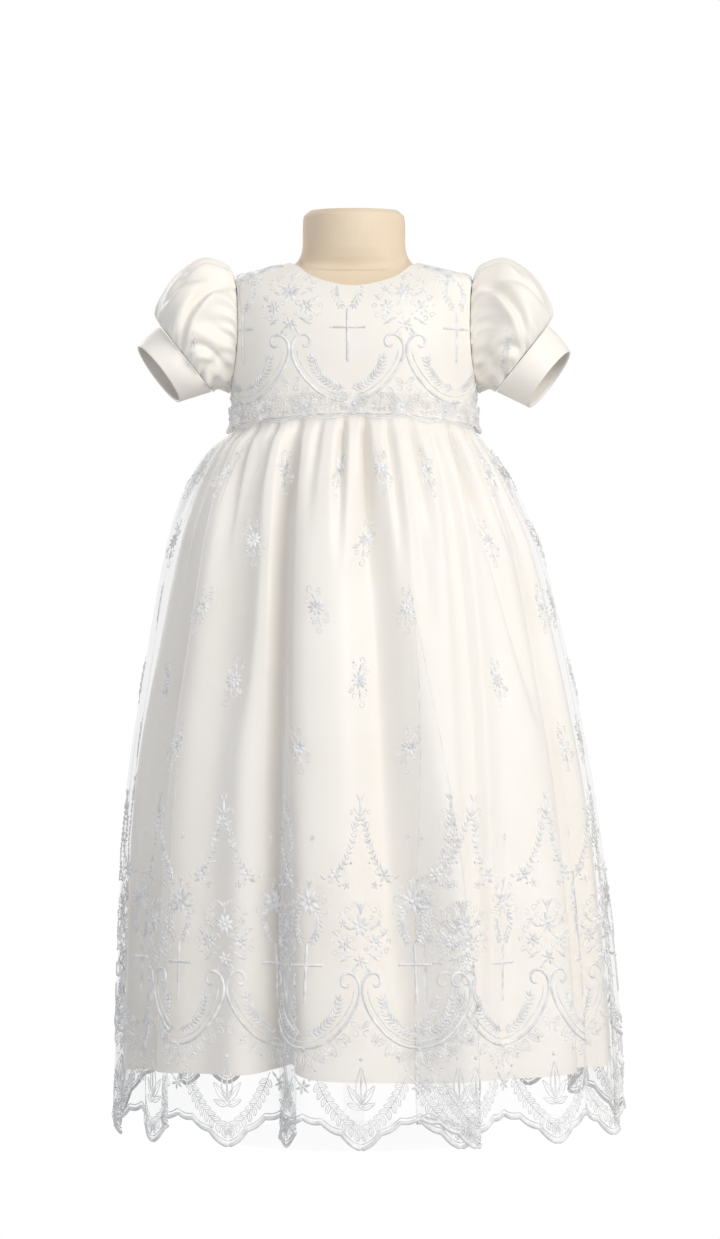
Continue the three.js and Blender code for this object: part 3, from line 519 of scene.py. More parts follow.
def cord(points, width, height=None, step=2):
    """A raised cord along a path, tapered at its ends."""
    path = smooth_path(points, step)
    height = width * CORD_HEIGHT if height is None else height
    along = np.gradient(path, axis=0)
    along /= np.linalg.norm(along, axis=1, keepdims=True)
    side = np.stack([-along[:, 1], along[:, 0]], axis=1)
    taper = np.ones(len(path))
    taper[[0, -1]] = CORD_END
    rings = []
    for across, up in CORD_SECTION:
        flat = path + side * (across * width / 2 * taper)[:, None]
        rings.append(np.column_stack([flat, up * height * taper]))
    grid = np.stack(rings, axis=1).reshape(-1, 3)
    return grid, strip_faces(len(path), len(CORD_SECTION))[:, ::-1]


# A leaf's outline and ridge along its length, and how full it is when filled
LEAF_ALONG = np.linspace(0, 1, 6)
LEAF_CURVE = np.sin(math.pi * LEAF_ALONG**0.8)
LEAF_RIDGE = 0.25 + np.sin(math.pi * LEAF_ALONG)
LEAF_FULLNESS = 0.4
LEAF_TIP = 0.05


def leaf(at, angle, length, width, height=0.8):
    """A filled leaf with a ridge along its middle, from its foot."""
    half = width * LEAF_FULLNESS * LEAF_CURVE + LEAF_TIP
    lines = []
    for across, up in ((-1, 0), (0, height), (1, 0)):
        lines.append(np.column_stack([LEAF_ALONG * length, across * half, up * LEAF_RIDGE]))
    points = np.stack(lines, axis=1).reshape(-1, 3)
    faces = strip_faces(len(LEAF_ALONG), len(lines))[:, ::-1]
    return moved((points, faces), *at, turn=angle)


OUTLINE_STEP = 1.8
VEIN_LENGTH = 0.85
VEIN_WIDTH = 0.7


def open_leaf(at, angle, length, width, strand=0.8):
    """A leaf drawn by its outline and vein."""
    side = np.column_stack([LEAF_ALONG * length, width / 2 * LEAF_CURVE])
    outline = np.concatenate([side, (side * (1, -1))[-2::-1]])
    vein = [(0, 0), (length * VEIN_LENGTH, 0)]
    pieces = [cord(outline, strand, step=OUTLINE_STEP), cord(vein, strand * VEIN_WIDTH)]
    return [moved(piece, *at, turn=angle) for piece in pieces]


DOME_SIDES = 8
DOME_SHOULDER = {"radius": 0.6, "height": 0.8}


def dome(at, radius, height=1.1):
    angles = np.arange(DOME_SIDES) * TURN / DOME_SIDES
    ring = np.column_stack([np.cos(angles), np.sin(angles)]) * radius
    foot = np.column_stack([ring, np.zeros(DOME_SIDES)])
    level = np.full(DOME_SIDES, height * DOME_SHOULDER["height"])
    shoulder = np.column_stack([ring * DOME_SHOULDER["radius"], level])
    points = np.concatenate([foot, shoulder, [(0, 0, height)]])
    a = np.arange(DOME_SIDES)
    b = (a + 1) % DOME_SIDES
    c = a + DOME_SIDES
    d = b + DOME_SIDES
    top = np.full(DOME_SIDES, 2 * DOME_SIDES)
    faces = np.concatenate([np.stack([a, b, d], 1), np.stack([a, d, c], 1), np.stack([c, d, top], 1)])
    return moved((points, faces), *at)


# Shares of a flower's radius: its middle, the petals' feet, their length and their width
FLOWER = {"middle": 0.2, "foot": 0.16, "length": 0.84, "width": 0.46}
DAISY = {"middle": 0.2, "foot": 0.2, "length": 0.8, "width": 0.42}


def petal_places(at, reach, petals, turn):
    """The foot and the angle of each petal round a flower's middle."""
    places = []
    for k in range(petals):
        angle = turn + TURN * k / petals
        foot = (at[0] + reach * math.cos(angle), at[1] + reach * math.sin(angle))
        places.append((foot, angle))
    return places


def flower(at, radius, petals=6, turn=0.3):
    """A flower of filled petals."""
    parts = [dome(at, radius * FLOWER["middle"])]
    for foot, angle in petal_places(at, radius * FLOWER["foot"], petals, turn):
        parts.append(leaf(foot, angle, radius * FLOWER["length"], radius * FLOWER["width"]))
    return parts


def daisy(at, radius, petals):
    """A flower of petals that are drawn by their outlines."""
    parts = [dome(at, radius * DAISY["middle"])]
    for foot, angle in petal_places(at, radius * DAISY["foot"], petals, 0):
        parts += open_leaf(foot, angle, radius * DAISY["length"], radius * DAISY["width"], 1)
    return parts


CURL_POINTS = 14
CURL_WIND = 0.75
CURL_STEP = 1.2


def curl(at, radius, start, hand, turns=1.1, width=0.8):
    """A cord that winds inwards, beginning at an angle on its outer ring."""
    t = np.linspace(0, 1, CURL_POINTS)
    angle = start + hand * TURN * turns * t
    reach = radius * (1 - CURL_WIND * t)
    path = np.column_stack([at[0] + reach * np.cos(angle), at[1] + reach * np.sin(angle)])
    return cord(path, width, step=CURL_STEP)


BRANCH_STRAND = 0.7


def branch(points, length, width, spacing, opening=0.65, open_leaves=False, stem=0.8):
    """A stem with pairs of leaves along it and one leaf at its end."""

    def leaves(at, angle):
        if open_leaves:
            return open_leaf(at, angle, length, width, BRANCH_STRAND)
        return [leaf(at, angle, length, width)]

    path = smooth_path(points, spacing)
    parts = [cord(points, stem)]
    for k in range(1, len(path)):
        along = path[k] - path[k - 1]
        angle = math.atan2(along[1], along[0])
        for side in (-1, 1):
            parts += leaves(path[k], angle + side * opening)
    return parts + leaves(path[-1], angle)


def both_sides(parts):
    return parts + [moved(part, mirror=-1) for part in parts]


# Half the width of a lace repeat as it is drawn
HALF = 41

# The scroll's right half, from its foot to the end of its curl, and the lines inside it
SCROLL = [
    (0, 73.5), (10, 75.2), (20, 80.5), (28, 88.5), (34.5, 98), (38.5, 107), (40, 115),
    (38.6, 122), (34.5, 126.5), (29.6, 127), (26.6, 123.6), (27, 119), (30, 117.4), (32, 119.6),
]
SCROLL_INNER = [(0, 78), (9, 79.6), (18, 84.6), (25, 91.8), (31, 100.5), (34.8, 108.5), (36.2, 115)]
SCROLL_LAUREL = [(1, 83.5), (9, 86), (17, 92), (22.5, 99.5), (25, 107.5)]

# Leaves under the scroll. Rows: distance from its middle, height, angle, length, width
SCROLL_LEAVES = [
    (2, 71, -1.2, 12, 4.6),
    (6, 71.5, -0.75, 12, 4.4),
    (12, 73.5, -0.5, 10, 4),
    (19, 77, -1.1, 10.5, 4),
    (23, 80.5, -0.6, 10, 4),
    (28, 85, -0.9, 9, 3.6),
    (34, 93, -0.7, 8, 3.4),
]


def scroll_parts():
    """The U-shaped scroll, its laurel crescent and the leaves under it."""
    half = [cord(SCROLL, 2.2, 1), cord(SCROLL_INNER, 0.9, 0.5)]
    half += branch(SCROLL_LAUREL, 5.2, 2, 3.1, 0.8)
    for across, up, angle, length, width in SCROLL_LEAVES:
        half += open_leaf((across, up), angle, length, width)
    half += [curl((37, 84), 3, 2.4, -1), dome((15, 67), 1.2), dome((30, 78), 1.1)]
    return both_sides(half) + open_leaf((0, 71), -QUARTER, 13, 5) + [dome((0, 73), 2)]


CROSS_FOOT = 105
CROSS_HEAD = 148
CROSS_ARM = CROSS_FOOT + (CROSS_HEAD - CROSS_FOOT) * 0.65
CROSS_HALF = 11.5


def cross_parts():
    upright = cord([(0, CROSS_FOOT), (0, CROSS_HEAD)], 2.2, 1)
    bar = cord([(-CROSS_HALF, CROSS_ARM), (CROSS_HALF, CROSS_ARM)], 2.2, 1.1)
    return [upright, bar] + [dome((x, CROSS_ARM), 1.3, 0.9) for x in (-CROSS_HALF, CROSS_HALF)]


def wreath_parts():
    """The flower over each cross, with its bud, curls and drooping wreath, and the dot over them."""
    half = branch([(3, 173), (7.5, 168), (8.5, 160), (5, 151)], 4.6, 1.9, 3.2, 0.75)
    half += [curl((11.5, 179), 3.4, math.pi, -1), curl((8.5, 187.5), 2.6, math.pi, -1)]
    half += [leaf((6, 173), 0.2, 8, 2.6), leaf((6, 180), 0.75, 7, 2.4), curl((14, 171), 2.4, 2.4, 1)]
    middle = flower((0, 178), 10, 8) + [leaf((0, 186), QUARTER, 9, 3)]
    middle += [leaf((0, 190), QUARTER + 0.5, 6, 2), leaf((0, 190), QUARTER - 0.5, 6, 2)]
    middle += flower((0, 224), 2.6, 5) + [cord([(0, 222), (0.5, 217)], 0.7)]
    return both_sides(half) + middle


def garland_parts():
    """The garland from the flower over a cross up to the spray between crosses."""
    half = flower((20.5, 197), 6.4, 6, 0.1) + flower((29, 190), 3.4, 5, 0.5)
    half += branch([(21, 199), (27, 206), (32, 216), (35.5, 228), (HALF - 1.5, 240)], 4.4, 1.8, 4, 0.8)
    half += [leaf((15, 191), 0.8, 7, 2.4), leaf((13, 194), 2.6, 6, 2.2), curl((26.5, 200), 2.6, 3.4, 1)]
    half += [curl((35.5, 222), 2.6, 2.8, 1), curl((HALF - 6, 233), 3, 0, 1)]
    half += [curl((HALF - 7.5, 242), 2.4, 0, 1), leaf((HALF - 1, 240), QUARTER + 0.7, 8, 2.6)]
    half += [dome((33, 206), 1.1), dome((24, 190), 1)]
    return both_sides(half)


# Leaves beside the cluster. Rows: distance from its middle, height, lean from upright, length, width
CLUSTER_LEAVES = [
    (16, 153, 0.9, 8, 2.6),
    (9, 139, QUARTER + 0.5, 8, 2.6),
    (7, 158, 1.1, 7, 2.4),
    (6, 141, 2, 7, 2.4),
    (3, 133, math.pi - 0.7, 7, 2.4),
    (0, 250, 0.6, 7, 2.2),
]

# Loops round the cluster. Rows: distance from its middle, height, radius, angle where the loop begins, hand
CLUSTER_CURLS = [
    (11, 172, 3, math.pi, -1),
    (6.5, 176, 2.4, math.pi, -1),
    (5.5, 152, 2.2, 0.4, 1),
    (18.5, 157.5, 2.6, 2.6, 1),
    (8.5, 167.5, 2.2, 3.6, 1),
    (17, 169, 2.4, 1.2, 1),
    (4.6, 144.5, 2, 2.2, 1),
    (14.5, 141, 2.4, 4.2, 1),
    (21.5, 150, 2.2, 5, 1),
    (4.5, 128.5, 2.2, 3, 1),
]


def cluster_side(side):
    """The cluster's flowers, leaves and loops on one side of its middle."""
    parts = flower((HALF + side * 12, 149), 6.2, 7, 0.2) + flower((HALF + side * 14, 163), 3.2, 5, 0.4)
    parts += open_leaf((HALF, 33), QUARTER - side * 0.6, 17, 5)
    parts += open_leaf((HALF, 30), QUARTER - side * 1.15, 11, 4)
    parts.append(curl((HALF + side * 20, 143), 2.6, 0, side))
    for across, up, lean, length, width in CLUSTER_LEAVES:
        parts.append(leaf((HALF + side * across, up), QUARTER - side * lean, length, width))
    for across, up, radius, start, hand in CLUSTER_CURLS:
        angle = QUARTER - side * (QUARTER - start)
        parts.append(curl((HALF + side * across, up), radius, angle, side * hand))
    return parts


def cluster_parts():
    """The spray and the flower cluster midway between crosses, and the lily over the scallop's tip."""
    parts = flower((HALF, 161), 8.2, 8) + flower((HALF, 136), 6, 6, 0.8)
    parts += [leaf((HALF, 168), QUARTER, 10, 3.2), leaf((HALF, 172), QUARTER + 0.55, 8, 2.4)]
    parts += [leaf((HALF, 172), QUARTER - 0.55, 8, 2.4), leaf((HALF, 238), QUARTER, 15, 4.2)]
    parts += open_leaf((HALF, 34), QUARTER, 26, 7.5, 1.1)
    parts += [dome((HALF, 66), 1.6), leaf((HALF, 38), QUARTER, 18, 2)]
    return parts + cluster_side(-1) + cluster_side(1)


def hem_parts():
    """The flower in the scallop's valley, the laurel branches down to the tips and the corded edge."""
    half = branch([(9, 54), (13.5, 43), (20, 32), (28, 22.5), (HALF - 3, 14)], 7.4, 3.4, 5.4, 0.75, True)
    half += [leaf((4, 50), 0.9, 6, 2.2), dome((9, 58), 1.1)]
    across = np.linspace(0, 0.5, 61)
    edge = np.column_stack([(0.5 - across) * 2 * HALF, edge_up(across) + 1.4])
    half += [cord(edge, 3, 1.2, 1.3), cord(edge + (0, 3.4), 0.9, 0.6, 1.3)]
    return both_sides(half) + flower((0, 46), 6, 6)


def border_parts():
    return scroll_parts() + cross_parts() + wreath_parts() + garland_parts() + cluster_parts() + hem_parts()


def sprig_parts():
    """A small spray: a daisy between two curls, with leaves."""
    parts = flower((0, 2), 6.6, 9) + [curl((2, 16.5), 3, -2, 1), curl((-3.5, 11.5), 2.2, 0.5, 1)]
    parts += [curl((3.5, 10.5), 2, 3, -1), curl((1, -15.5), 3, 2, -1), curl((-4, -9.5), 2.2, 1, 1)]
    parts += [curl((3.5, -8.5), 2, 2.6, -1), leaf((0, 8), QUARTER - 0.2, 6, 2), leaf((0, -4), -QUARTER, 8, 2)]
    parts += open_leaf((4, 6), 0.9, 5.5, 2.4) + open_leaf((-4, -3), -2.4, 6, 2.6)
    return parts + [cord([(0.5, -5), (1.5, -9), (0.5, -12)], 0.7), dome((5, -5), 0.9), dome((-4.5, 15), 0.9)]


def merged(parts):
    points = []
    faces = []
    count = 0
    for part_points, part_faces in parts:
        points.append(part_points)
        faces.append(part_faces + count)
        count += len(part_points)
    return np.concatenate(points), np.concatenate(faces)


# Meshes and materials
def link_object(name, data):
    piece = bpy.data.objects.new(name, data)
    bpy.context.collection.objects.link(piece)
    return piece


def add_mesh(name, points, faces, material, uvs=None):
    """A smooth mesh that rides on the part, from points in millimetres and lists of corners."""
    mesh = bpy.data.meshes.new(name)
    mesh.from_pydata((points * MM).tolist(), [], faces)
    mesh.shade_smooth()
    if uvs is not None:
        corners = np.empty(len(mesh.loops), int)
        mesh.loops.foreach_get("vertex_index", corners)
        mesh.uv_layers.new(name="cloth").data.foreach_set("uv", (uvs[corners] * MM).ravel())
    mesh.materials.append(material)
    piece = link_object(name, mesh)
    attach(piece, "root")
    return piece


def grid_faces(rows, columns, closed=False):
    """Quads of a grid of points, row after row. A closed grid joins its last row to its first."""
    count = rows if closed else rows - 1
    i, j = np.meshgrid(np.arange(count), np.arange(columns - 1), indexing="ij")
    a = (i * columns + j).ravel()
    b = ((i + 1) % rows * columns + j).ravel()
    return np.stack([a, b, b + 1, a + 1], axis=1)


def add_cloth(name, grid, material, closed=False):
    """A cloth sheet through a grid of points, with cloth coordinates in metres along it."""
    rows, columns = grid.shape[:2]
    middle = arc_lengths(grid[:, columns // 2])
    down = arc_lengths(grid[rows // 2])
    uvs = np.stack(np.meshgrid(middle, down, indexing="ij"), axis=-1).reshape(-1, 2)
    faces = grid_faces(rows, columns, closed).tolist()
    return add_mesh(name, grid.reshape(-1, 3), faces, material, uvs)


def linear(*srgb):
    return [*(((c / 255 + 0.055) / 1.055) ** 2.4 for c in srgb), 1]


def new_material(name, colour, roughness, **values):
    """A Principled material with constant values on its sockets, and its node tree and shader."""
    material = bpy.data.materials.new(name)
    material.use_nodes = True
    tree = material.node_tree
    shader = tree.nodes["Principled BSDF"]
    shader.inputs["Base Color"].default_value = linear(*colour)
    shader.inputs["Roughness"].default_value = roughness
    for socket, value in values.items():
        shader.inputs[socket.replace("_", " ")].default_value = value
    return material, tree, shader


def add_node(tree, kind, **values):
    node = tree.nodes.new(kind)
    for socket, value in values.items():
        node.inputs[socket.replace("_", " ")].default_value = value
    return node


def tint(tree, shader, source, colours, spread=(0.3, 0.7)):
    """Varies the colour between two sRGB tones by a texture."""
    ramp = tree.nodes.new("ShaderNodeValToRGB")
    for stop, place, colour in zip(ramp.color_ramp.elements, spread, colours):
        stop.position = place
        stop.color = linear(*colour)
    tree.links.new(source, ramp.inputs["Fac"])
    tree.links.new(ramp.outputs["Color"], shader.inputs["Base Color"])


def bump(tree, shader, source, strength, distance):
    node = add_node(tree, "ShaderNodeBump", Strength=strength, Distance=distance)
    tree.links.new(source, node.inputs["Height"])
    tree.links.new(node.outputs["Normal"], shader.inputs["Normal"])


# Blender's wave texture repeats over this length at a scale of 1
WAVE_LENGTH = 0.314


def weave(tree, coordinates, pitch):
    """Height of a plain weave: two sets of threads a pitch apart, in metres."""
    add = tree.nodes.new("ShaderNodeMath")
    scale = WAVE_LENGTH / pitch
    for k, direction in enumerate(("X", "Y")):
        wave = add_node(tree, "ShaderNodeTexWave", Scale=scale, Distortion=0.6, Detail=1, Detail_Scale=1)
        wave.bands_direction = direction
        tree.links.new(coordinates, wave.inputs["Vector"])
        tree.links.new(wave.outputs["Fac"], add.inputs[k])
    return add.outputs[0]


def noise(tree, coordinates, scale, detail):
    node = add_node(tree, "ShaderNodeTexNoise", Scale=scale, Detail=detail)
    tree.links.new(coordinates, node.inputs["Vector"])
    return node.outputs["Fac"]


def object_place(tree):
    return tree.nodes.new("ShaderNodeTexCoord").outputs["Object"]


def satin_material(name, dull, bright):
    """Satin between two tones, with a faint weave."""
    material, tree, shader = new_material(name, dull, 0.42, Sheen_Weight=0.2, Sheen_Roughness=0.35,
                                          Specular_IOR_Level=0.35)
    uv = tree.nodes.new("ShaderNodeUVMap").outputs["UV"]
    tint(tree, shader, noise(tree, uv, 9, 3), (dull, bright))
    bump(tree, shader, weave(tree, uv, 0.0005), 0.06, 0.0002)
    return material


def thread_material(name, dull, bright):
    """Embroidery thread between two tones, with fine strands."""
    material, tree, shader = new_material(name, dull, 0.36, Sheen_Weight=0.15, Specular_IOR_Level=0.45)
    place = object_place(tree)
    tint(tree, shader, noise(tree, place, 160, 2), (dull, bright))
    strands = add_node(tree, "ShaderNodeTexWave", Scale=420, Distortion=2.5, Detail=2, Detail_Scale=1.5)
    tree.links.new(place, strands.inputs["Vector"])
    bump(tree, shader, strands.outputs["Fac"], 0.25, 0.0002)
    return material


def form_material():
    material, tree, shader = new_material("form_jersey", (230, 212, 186), 0.7, Sheen_Weight=0.1)
    place = object_place(tree)
    tint(tree, shader, noise(tree, place, 18, 3), ((226, 206, 179), (233, 216, 191)))
    bump(tree, shader, weave(tree, place, 0.0009), 0.15, 0.0002)
    return material


def plain_material(name, colours, roughness, **values):
    """A hard surface with faint unevenness in its colour and gloss."""
    material, tree, shader = new_material(name, colours[0], roughness, **values)
    uneven_tone = noise(tree, object_place(tree), 45, 3)
    tint(tree, shader, uneven_tone, colours)
    bump(tree, shader, uneven_tone, 0.05, 0.0005)
    return material


def sleeve_ring(ring, angle, side, swell):
    """A point of a sleeve or cuff ring. Angle 0 is the top edge and the front comes next."""
    top_x, top_rise, low_x, low_rise, depth, forward = ring
    half_x = (top_x - low_x) / 2
    half_z = (top_rise - low_rise) / 2
    reach = np.cos(angle) * (1 + swell / np.hypot(half_x, half_z))
    x = side * (low_x + half_x + half_x * reach)
    y = -forward - (depth + swell) * np.sin(angle)
    return joined(x, y, WAIST_Z + low_rise + half_z + half_z * reach)


def bodice_reach(y, rise):
    """How far the bodice's outer face reaches to the side."""
    width, depth, square, ease = read_table(BODY, rise)
    offset = ease + BODICE_WALL
    return (width + offset) * np.maximum(0, 1 - (np.abs(y) / (depth + offset)) ** square) ** (1 / square)


def sleeve_swell(angle, along, gather):
    """Gathers at both ends of the puff, and its soft creases."""
    swell = gather * uneven(angle, [(0.4, 3, 0.7)]) * np.cos(SLEEVE_GATHERS * angle + np.sin(2 * angle))
    ends = 1 - smoothstep(along, 0.05, 0.4) + smoothstep(along, 0.7, 0.97)
    fine = np.cos(SLEEVE_FINE_GATHERS * angle + 1.3 * np.sin(4 * angle))
    swell = swell + SLEEVE_FINE_DEPTH * ends * smoothstep(along, 0, 0.05) * fine
    for centre, place, wide, long, lean, depth in SLEEVE_CREASES:
        across = bearing_offset(centre + lean * (along - place), angle) / wide
        down = (along - place) / long
        ridge = RIDGE_SHARE * depth * np.exp(-((across - RIDGE_PLACE) ** 2) - down**2)
        swell = swell - depth * np.exp(-(across**2) - down**2) + ridge
    return swell


def sleeve_point(side):
    def point(angle, along):
        top_x, top_rise, low_x, low_rise, depth, gather, forward = read_table(SLEEVE, along)
        ring = (top_x, top_rise, low_x, low_rise, depth, forward)
        place = sleeve_ring(ring, angle, side, sleeve_swell(angle, along, gather))
        blend = 1 - smoothstep(along, 0, ARMHOLE_BLEND)
        flat = (top_x + low_x) / 2 + (top_x - low_x) / 2 * np.cos(angle)
        _, *seam_ends, seam_depth, _, seam_forward = SLEEVE[0]
        seam = sleeve_ring((*seam_ends, seam_depth, seam_forward), angle, side, 0)
        reach = bodice_reach(seam[..., 1], seam[..., 2] - WAIST_Z) + along * ARMHOLE_STAND_OFF
        return place + joined(side * blend * (reach - flat), 0, 0)

    return point


def cuff_point(side, mouth_sink):
    _, top_x, top_rise, low_x, low_rise, depth, _, forward = SLEEVE[-1]
    across = np.array([top_x - low_x, top_rise - low_rise])
    across /= np.linalg.norm(across)
    outward = np.array([across[1], -across[0]])
    top = np.array([top_x, top_rise]) + CUFF_EASE * across + CUFF_GAP * outward
    low = np.array([low_x, low_rise]) - CUFF_EASE * across + CUFF_GAP * outward
    seam_ring = (*top, *low, depth + CUFF_EASE, forward)

    def point(angle, along):
        face = CUFF_FACE * np.sin(angle)
        mouth = sleeve_ring(CUFF_MOUTH, angle, side, 0)
        mouth = mouth - joined(side * face * outward[0], 0 * face, face * outward[1] + mouth_sink)
        seam = sleeve_ring(seam_ring, angle, side, 0)
        swell = np.sin(math.pi * along)
        bow = CUFF_WAVE * swell * np.cos(3 * angle + 0.5) + CUFF_BOW * swell
        middle = seam + (mouth - seam) * along[..., None]
        centre = middle.mean(axis=0, keepdims=True)
        out = middle - centre
        return middle + out / np.linalg.norm(out, axis=-1, keepdims=True) * bow[..., None]

    return point


def trim_point(bearing, up):
    """The waist trim by bearing and height above the waist seam: on the bodice, and flared below it."""
    seam = waist_rise(bearing)
    point = bodice_point(bearing, seam + np.maximum(0, up))
    below = np.maximum(0, -up)
    flare = TRIM_FLARE * below / (TRIM_BELOW + TRIM_SCALLOP)
    radius = np.hypot(point[..., 0], point[..., 1])
    scale = 1 + (flare + TRIM_LIFT) / radius
    return joined(point[..., 0] * scale, point[..., 1] * scale, point[..., 2] - below)


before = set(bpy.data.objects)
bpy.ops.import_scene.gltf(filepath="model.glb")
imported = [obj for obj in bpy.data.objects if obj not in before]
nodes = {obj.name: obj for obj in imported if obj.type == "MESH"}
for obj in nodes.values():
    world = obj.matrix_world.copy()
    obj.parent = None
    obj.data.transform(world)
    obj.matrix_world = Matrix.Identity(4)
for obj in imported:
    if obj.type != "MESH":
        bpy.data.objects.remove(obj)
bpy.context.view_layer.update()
scene = bpy.context.scene


# Camera, floor and light. The stage is in metres.
FLOOR_HALF = 60
FLOOR_SINK = 0.0005
WORLD_LIGHT = 0.53
WORLD_COLOUR = (0.965, 0.98, 1, 1)

# Rows: name, place, target, size, power, colour
LIGHTS = [
    ("key", (2.0, -2.4, 1.9), (0, 0, 0.35), 2.2, 75, (1, 0.967, 0.925)),
    ("fill", (-1.9, -2.6, 0.8), (0, 0, 0.3), 1.8, 12, (0.9, 0.92, 1)),
    ("back", (-1.6, 2.8, 1.7), (0, 0, 0.35), 2.2, 38, (1, 0.985, 0.965)),
]


def add_camera():
    camera = link_object("camera", bpy.data.cameras.new("camera"))
    camera.location = (LENS_X * MM, -LENS_DISTANCE * MM, LENS_Z * MM)
    camera.rotation_euler = (QUARTER, 0, 0)
    camera.data.sensor_fit = "VERTICAL"
    camera.data.sensor_height = SENSOR
    camera.data.lens = SENSOR * LENS_DISTANCE / FRAME_HEIGHT
    camera.data.clip_end = 100
    scene.camera = camera
    scene.view_settings.view_transform = "Standard"


def add_floor():
    white = bpy.data.materials.new("studio_white")
    white.use_nodes = True
    tree = white.node_tree
    glow = tree.nodes.new("ShaderNodeEmission")
    glow.inputs["Strength"].default_value = 1.0
    tree.links.new(glow.outputs[0], tree.nodes["Material Output"].inputs["Surface"])
    mesh = bpy.data.meshes.new("floor")
    corners = [(x * FLOOR_HALF, y * FLOOR_HALF, 0) for x, y in ((-1, -1), (1, -1), (1, 1), (-1, 1))]
    mesh.from_pydata(corners, [], [(0, 1, 2, 3)])
    mesh.materials.append(white)
    floor = link_object("floor", mesh)
    floor.location.z = -FLOOR_SINK
    floor.visible_diffuse = False
    floor.visible_glossy = False


def add_world():
    """White where the camera sees it, and softer as light."""
    world = bpy.data.worlds.new("studio")
    scene.world = world
    world.use_nodes = True
    tree = world.node_tree
    seen = tree.nodes["Background"]
    seen.inputs["Color"].default_value = (1, 1, 1, 1)
    light = tree.nodes.new("ShaderNodeBackground")
    light.inputs["Color"].default_value = WORLD_COLOUR
    light.inputs["Strength"].default_value = WORLD_LIGHT
    path = tree.nodes.new("ShaderNodeLightPath")
    mix = tree.nodes.new("ShaderNodeMixShader")
    tree.links.new(path.outputs["Is Camera Ray"], mix.inputs["Fac"])
    tree.links.new(light.outputs[0], mix.inputs[1])
    tree.links.new(seen.outputs[0], mix.inputs[2])
    tree.links.new(mix.outputs[0], tree.nodes["World Output"].inputs["Surface"])


def add_light(name, place, target, size, power, colour):
    lamp = bpy.data.lights.new(name, "AREA")
    lamp.size = size
    lamp.energy = power
    lamp.color = colour
    light = link_object(name, lamp)
    light.location = place
    aim = np.array(target) - np.array(place)
    light.rotation_euler = (
        math.atan2(math.hypot(aim[0], aim[1]), -aim[2]),
        0,
        math.atan2(aim[1], aim[0]) - QUARTER,
    )


add_camera()
add_floor()
add_world()
for row in LIGHTS:
    add_light(*row)

satin = satin_material("satin", (245, 240, 232), (250, 246, 240))
netted_satin = satin_material("satin_under_net", (240, 236, 228), (246, 242, 235))
net, _, _ = new_material("net", (246, 246, 247), 0.7, Alpha=0.17, Specular_IOR_Level=0.2)
thread = thread_material("thread", (213, 214, 216), (246, 246, 245))
trim_thread = thread_material("trim_thread", (216, 216, 216), (246, 245, 243))
lace_ground, _, _ = new_material("lace_ground", (250, 249, 247), 0.6, Alpha=0.08, Specular_IOR_Level=0.2)
jersey = form_material()
stand, _, _ = new_material("clear_acrylic", (247, 249, 250), 0.08, Alpha=0.04, Specular_IOR_Level=0.5)
pearl = plain_material("pearl_button", ((246, 243, 238), (240, 240, 240)), 0.2, Coat_Weight=0.4)


def assign(node, material):
    materials = nodes[node].data.materials
    materials.clear()
    materials.append(material)


assign("stand_pole", stand)
assign("stand_base", stand)


# The dress form. Rows of its rings: first and last height above the waist, how many
FORM_RINGS = [(-148, -134, 10), (-132, 90, 46), (92, 104, 10), (105, 135, 61), (136, 159.5, 26)]
FORM_SIDES = 96
FORM_ENDS = (-148, 160)
GROOVE_DEPTH = 1.4
GROOVE_HALF = 0.6


def ring_angles(count):
    """Even angles once round, the first of them 0."""
    return np.linspace(0, TURN, count + 1)[:-1]


def add_form():
    """The padded form, with the groove of its neck seam and closed ends."""
    rises = np.concatenate([np.linspace(*row) for row in FORM_RINGS])
    grid = body_point(*np.meshgrid(ring_angles(FORM_SIDES), rises, indexing="ij"))
    seam = WAIST_Z + FORM_SEAM_RISE + FORM_SEAM_SLOPE * grid[..., 1]
    off = (grid[..., 2] - seam) * math.cos(math.atan(FORM_SEAM_SLOPE))
    groove = GROOVE_DEPTH * np.exp(-((off / GROOVE_HALF) ** 2))
    radius = np.hypot(grid[..., 0], grid[..., 1])
    grid[..., :2] *= (1 - groove / radius)[..., None]
    rows, columns = grid.shape[:2]
    ends = [(0, 0, WAIST_Z + rise) for rise in FORM_ENDS]
    points = np.concatenate([grid.reshape(-1, 3), ends])
    low = np.arange(rows) * columns
    high = low + columns - 1
    bottom = np.stack([np.roll(low, -1), low, np.full(rows, rows * columns)], axis=1)
    top = np.stack([high, np.roll(high, -1), np.full(rows, rows * columns + 1)], axis=1)
    faces = grid_faces(rows, columns, True).tolist() + bottom.tolist() + top.tolist()
    form = add_mesh("dress_form", points, faces, jersey)
    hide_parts("form_torso", "form_neck")


add_form()


# Bodice
NECK_SEARCH_LOW = 80
NECK_SEARCH_STEPS = 160
CLEAR_OF_ARMHOLE = 2
BODICE_COLUMNS = 320
BODICE_ROWS = 61
BODICE_CROWDING = 0.9


def neck_rise(bearing):
    """Height above the waist where the bodice meets the neck's edge."""
    rises = np.linspace(NECK_SEARCH_LOW, BODICE_TOP, NECK_SEARCH_STEPS)
    place = bodice_point(*np.meshgrid(bearing, rises, indexing="ij"))
    across = place[..., 0] / NECK_HOLE["half_width"]
    back = (place[..., 1] - NECK_HOLE["y"]) / NECK_HOLE["half_depth"]
    return np.array([np.interp(-1, -row, rises) for row in across**2 + back**2])


def armhole_share(place):
    """Below 1 inside the armholes."""
    across = place[:, 1] / ARMHOLE["half_depth"]
    up = (place[:, 2] - WAIST_Z - ARMHOLE["rise"]) / ARMHOLE["half_height"]
    return np.where(np.abs(place[:, 0]) > ARMHOLE["from_x"], np.hypot(across, up), CLEAR_OF_ARMHOLE)


def panel_bearings(start, end, columns):
    """Bearings across a panel, by the number of columns that a full turn has."""
    return np.linspace(start, end, int(round((end - start) / TURN * columns)) + 1)


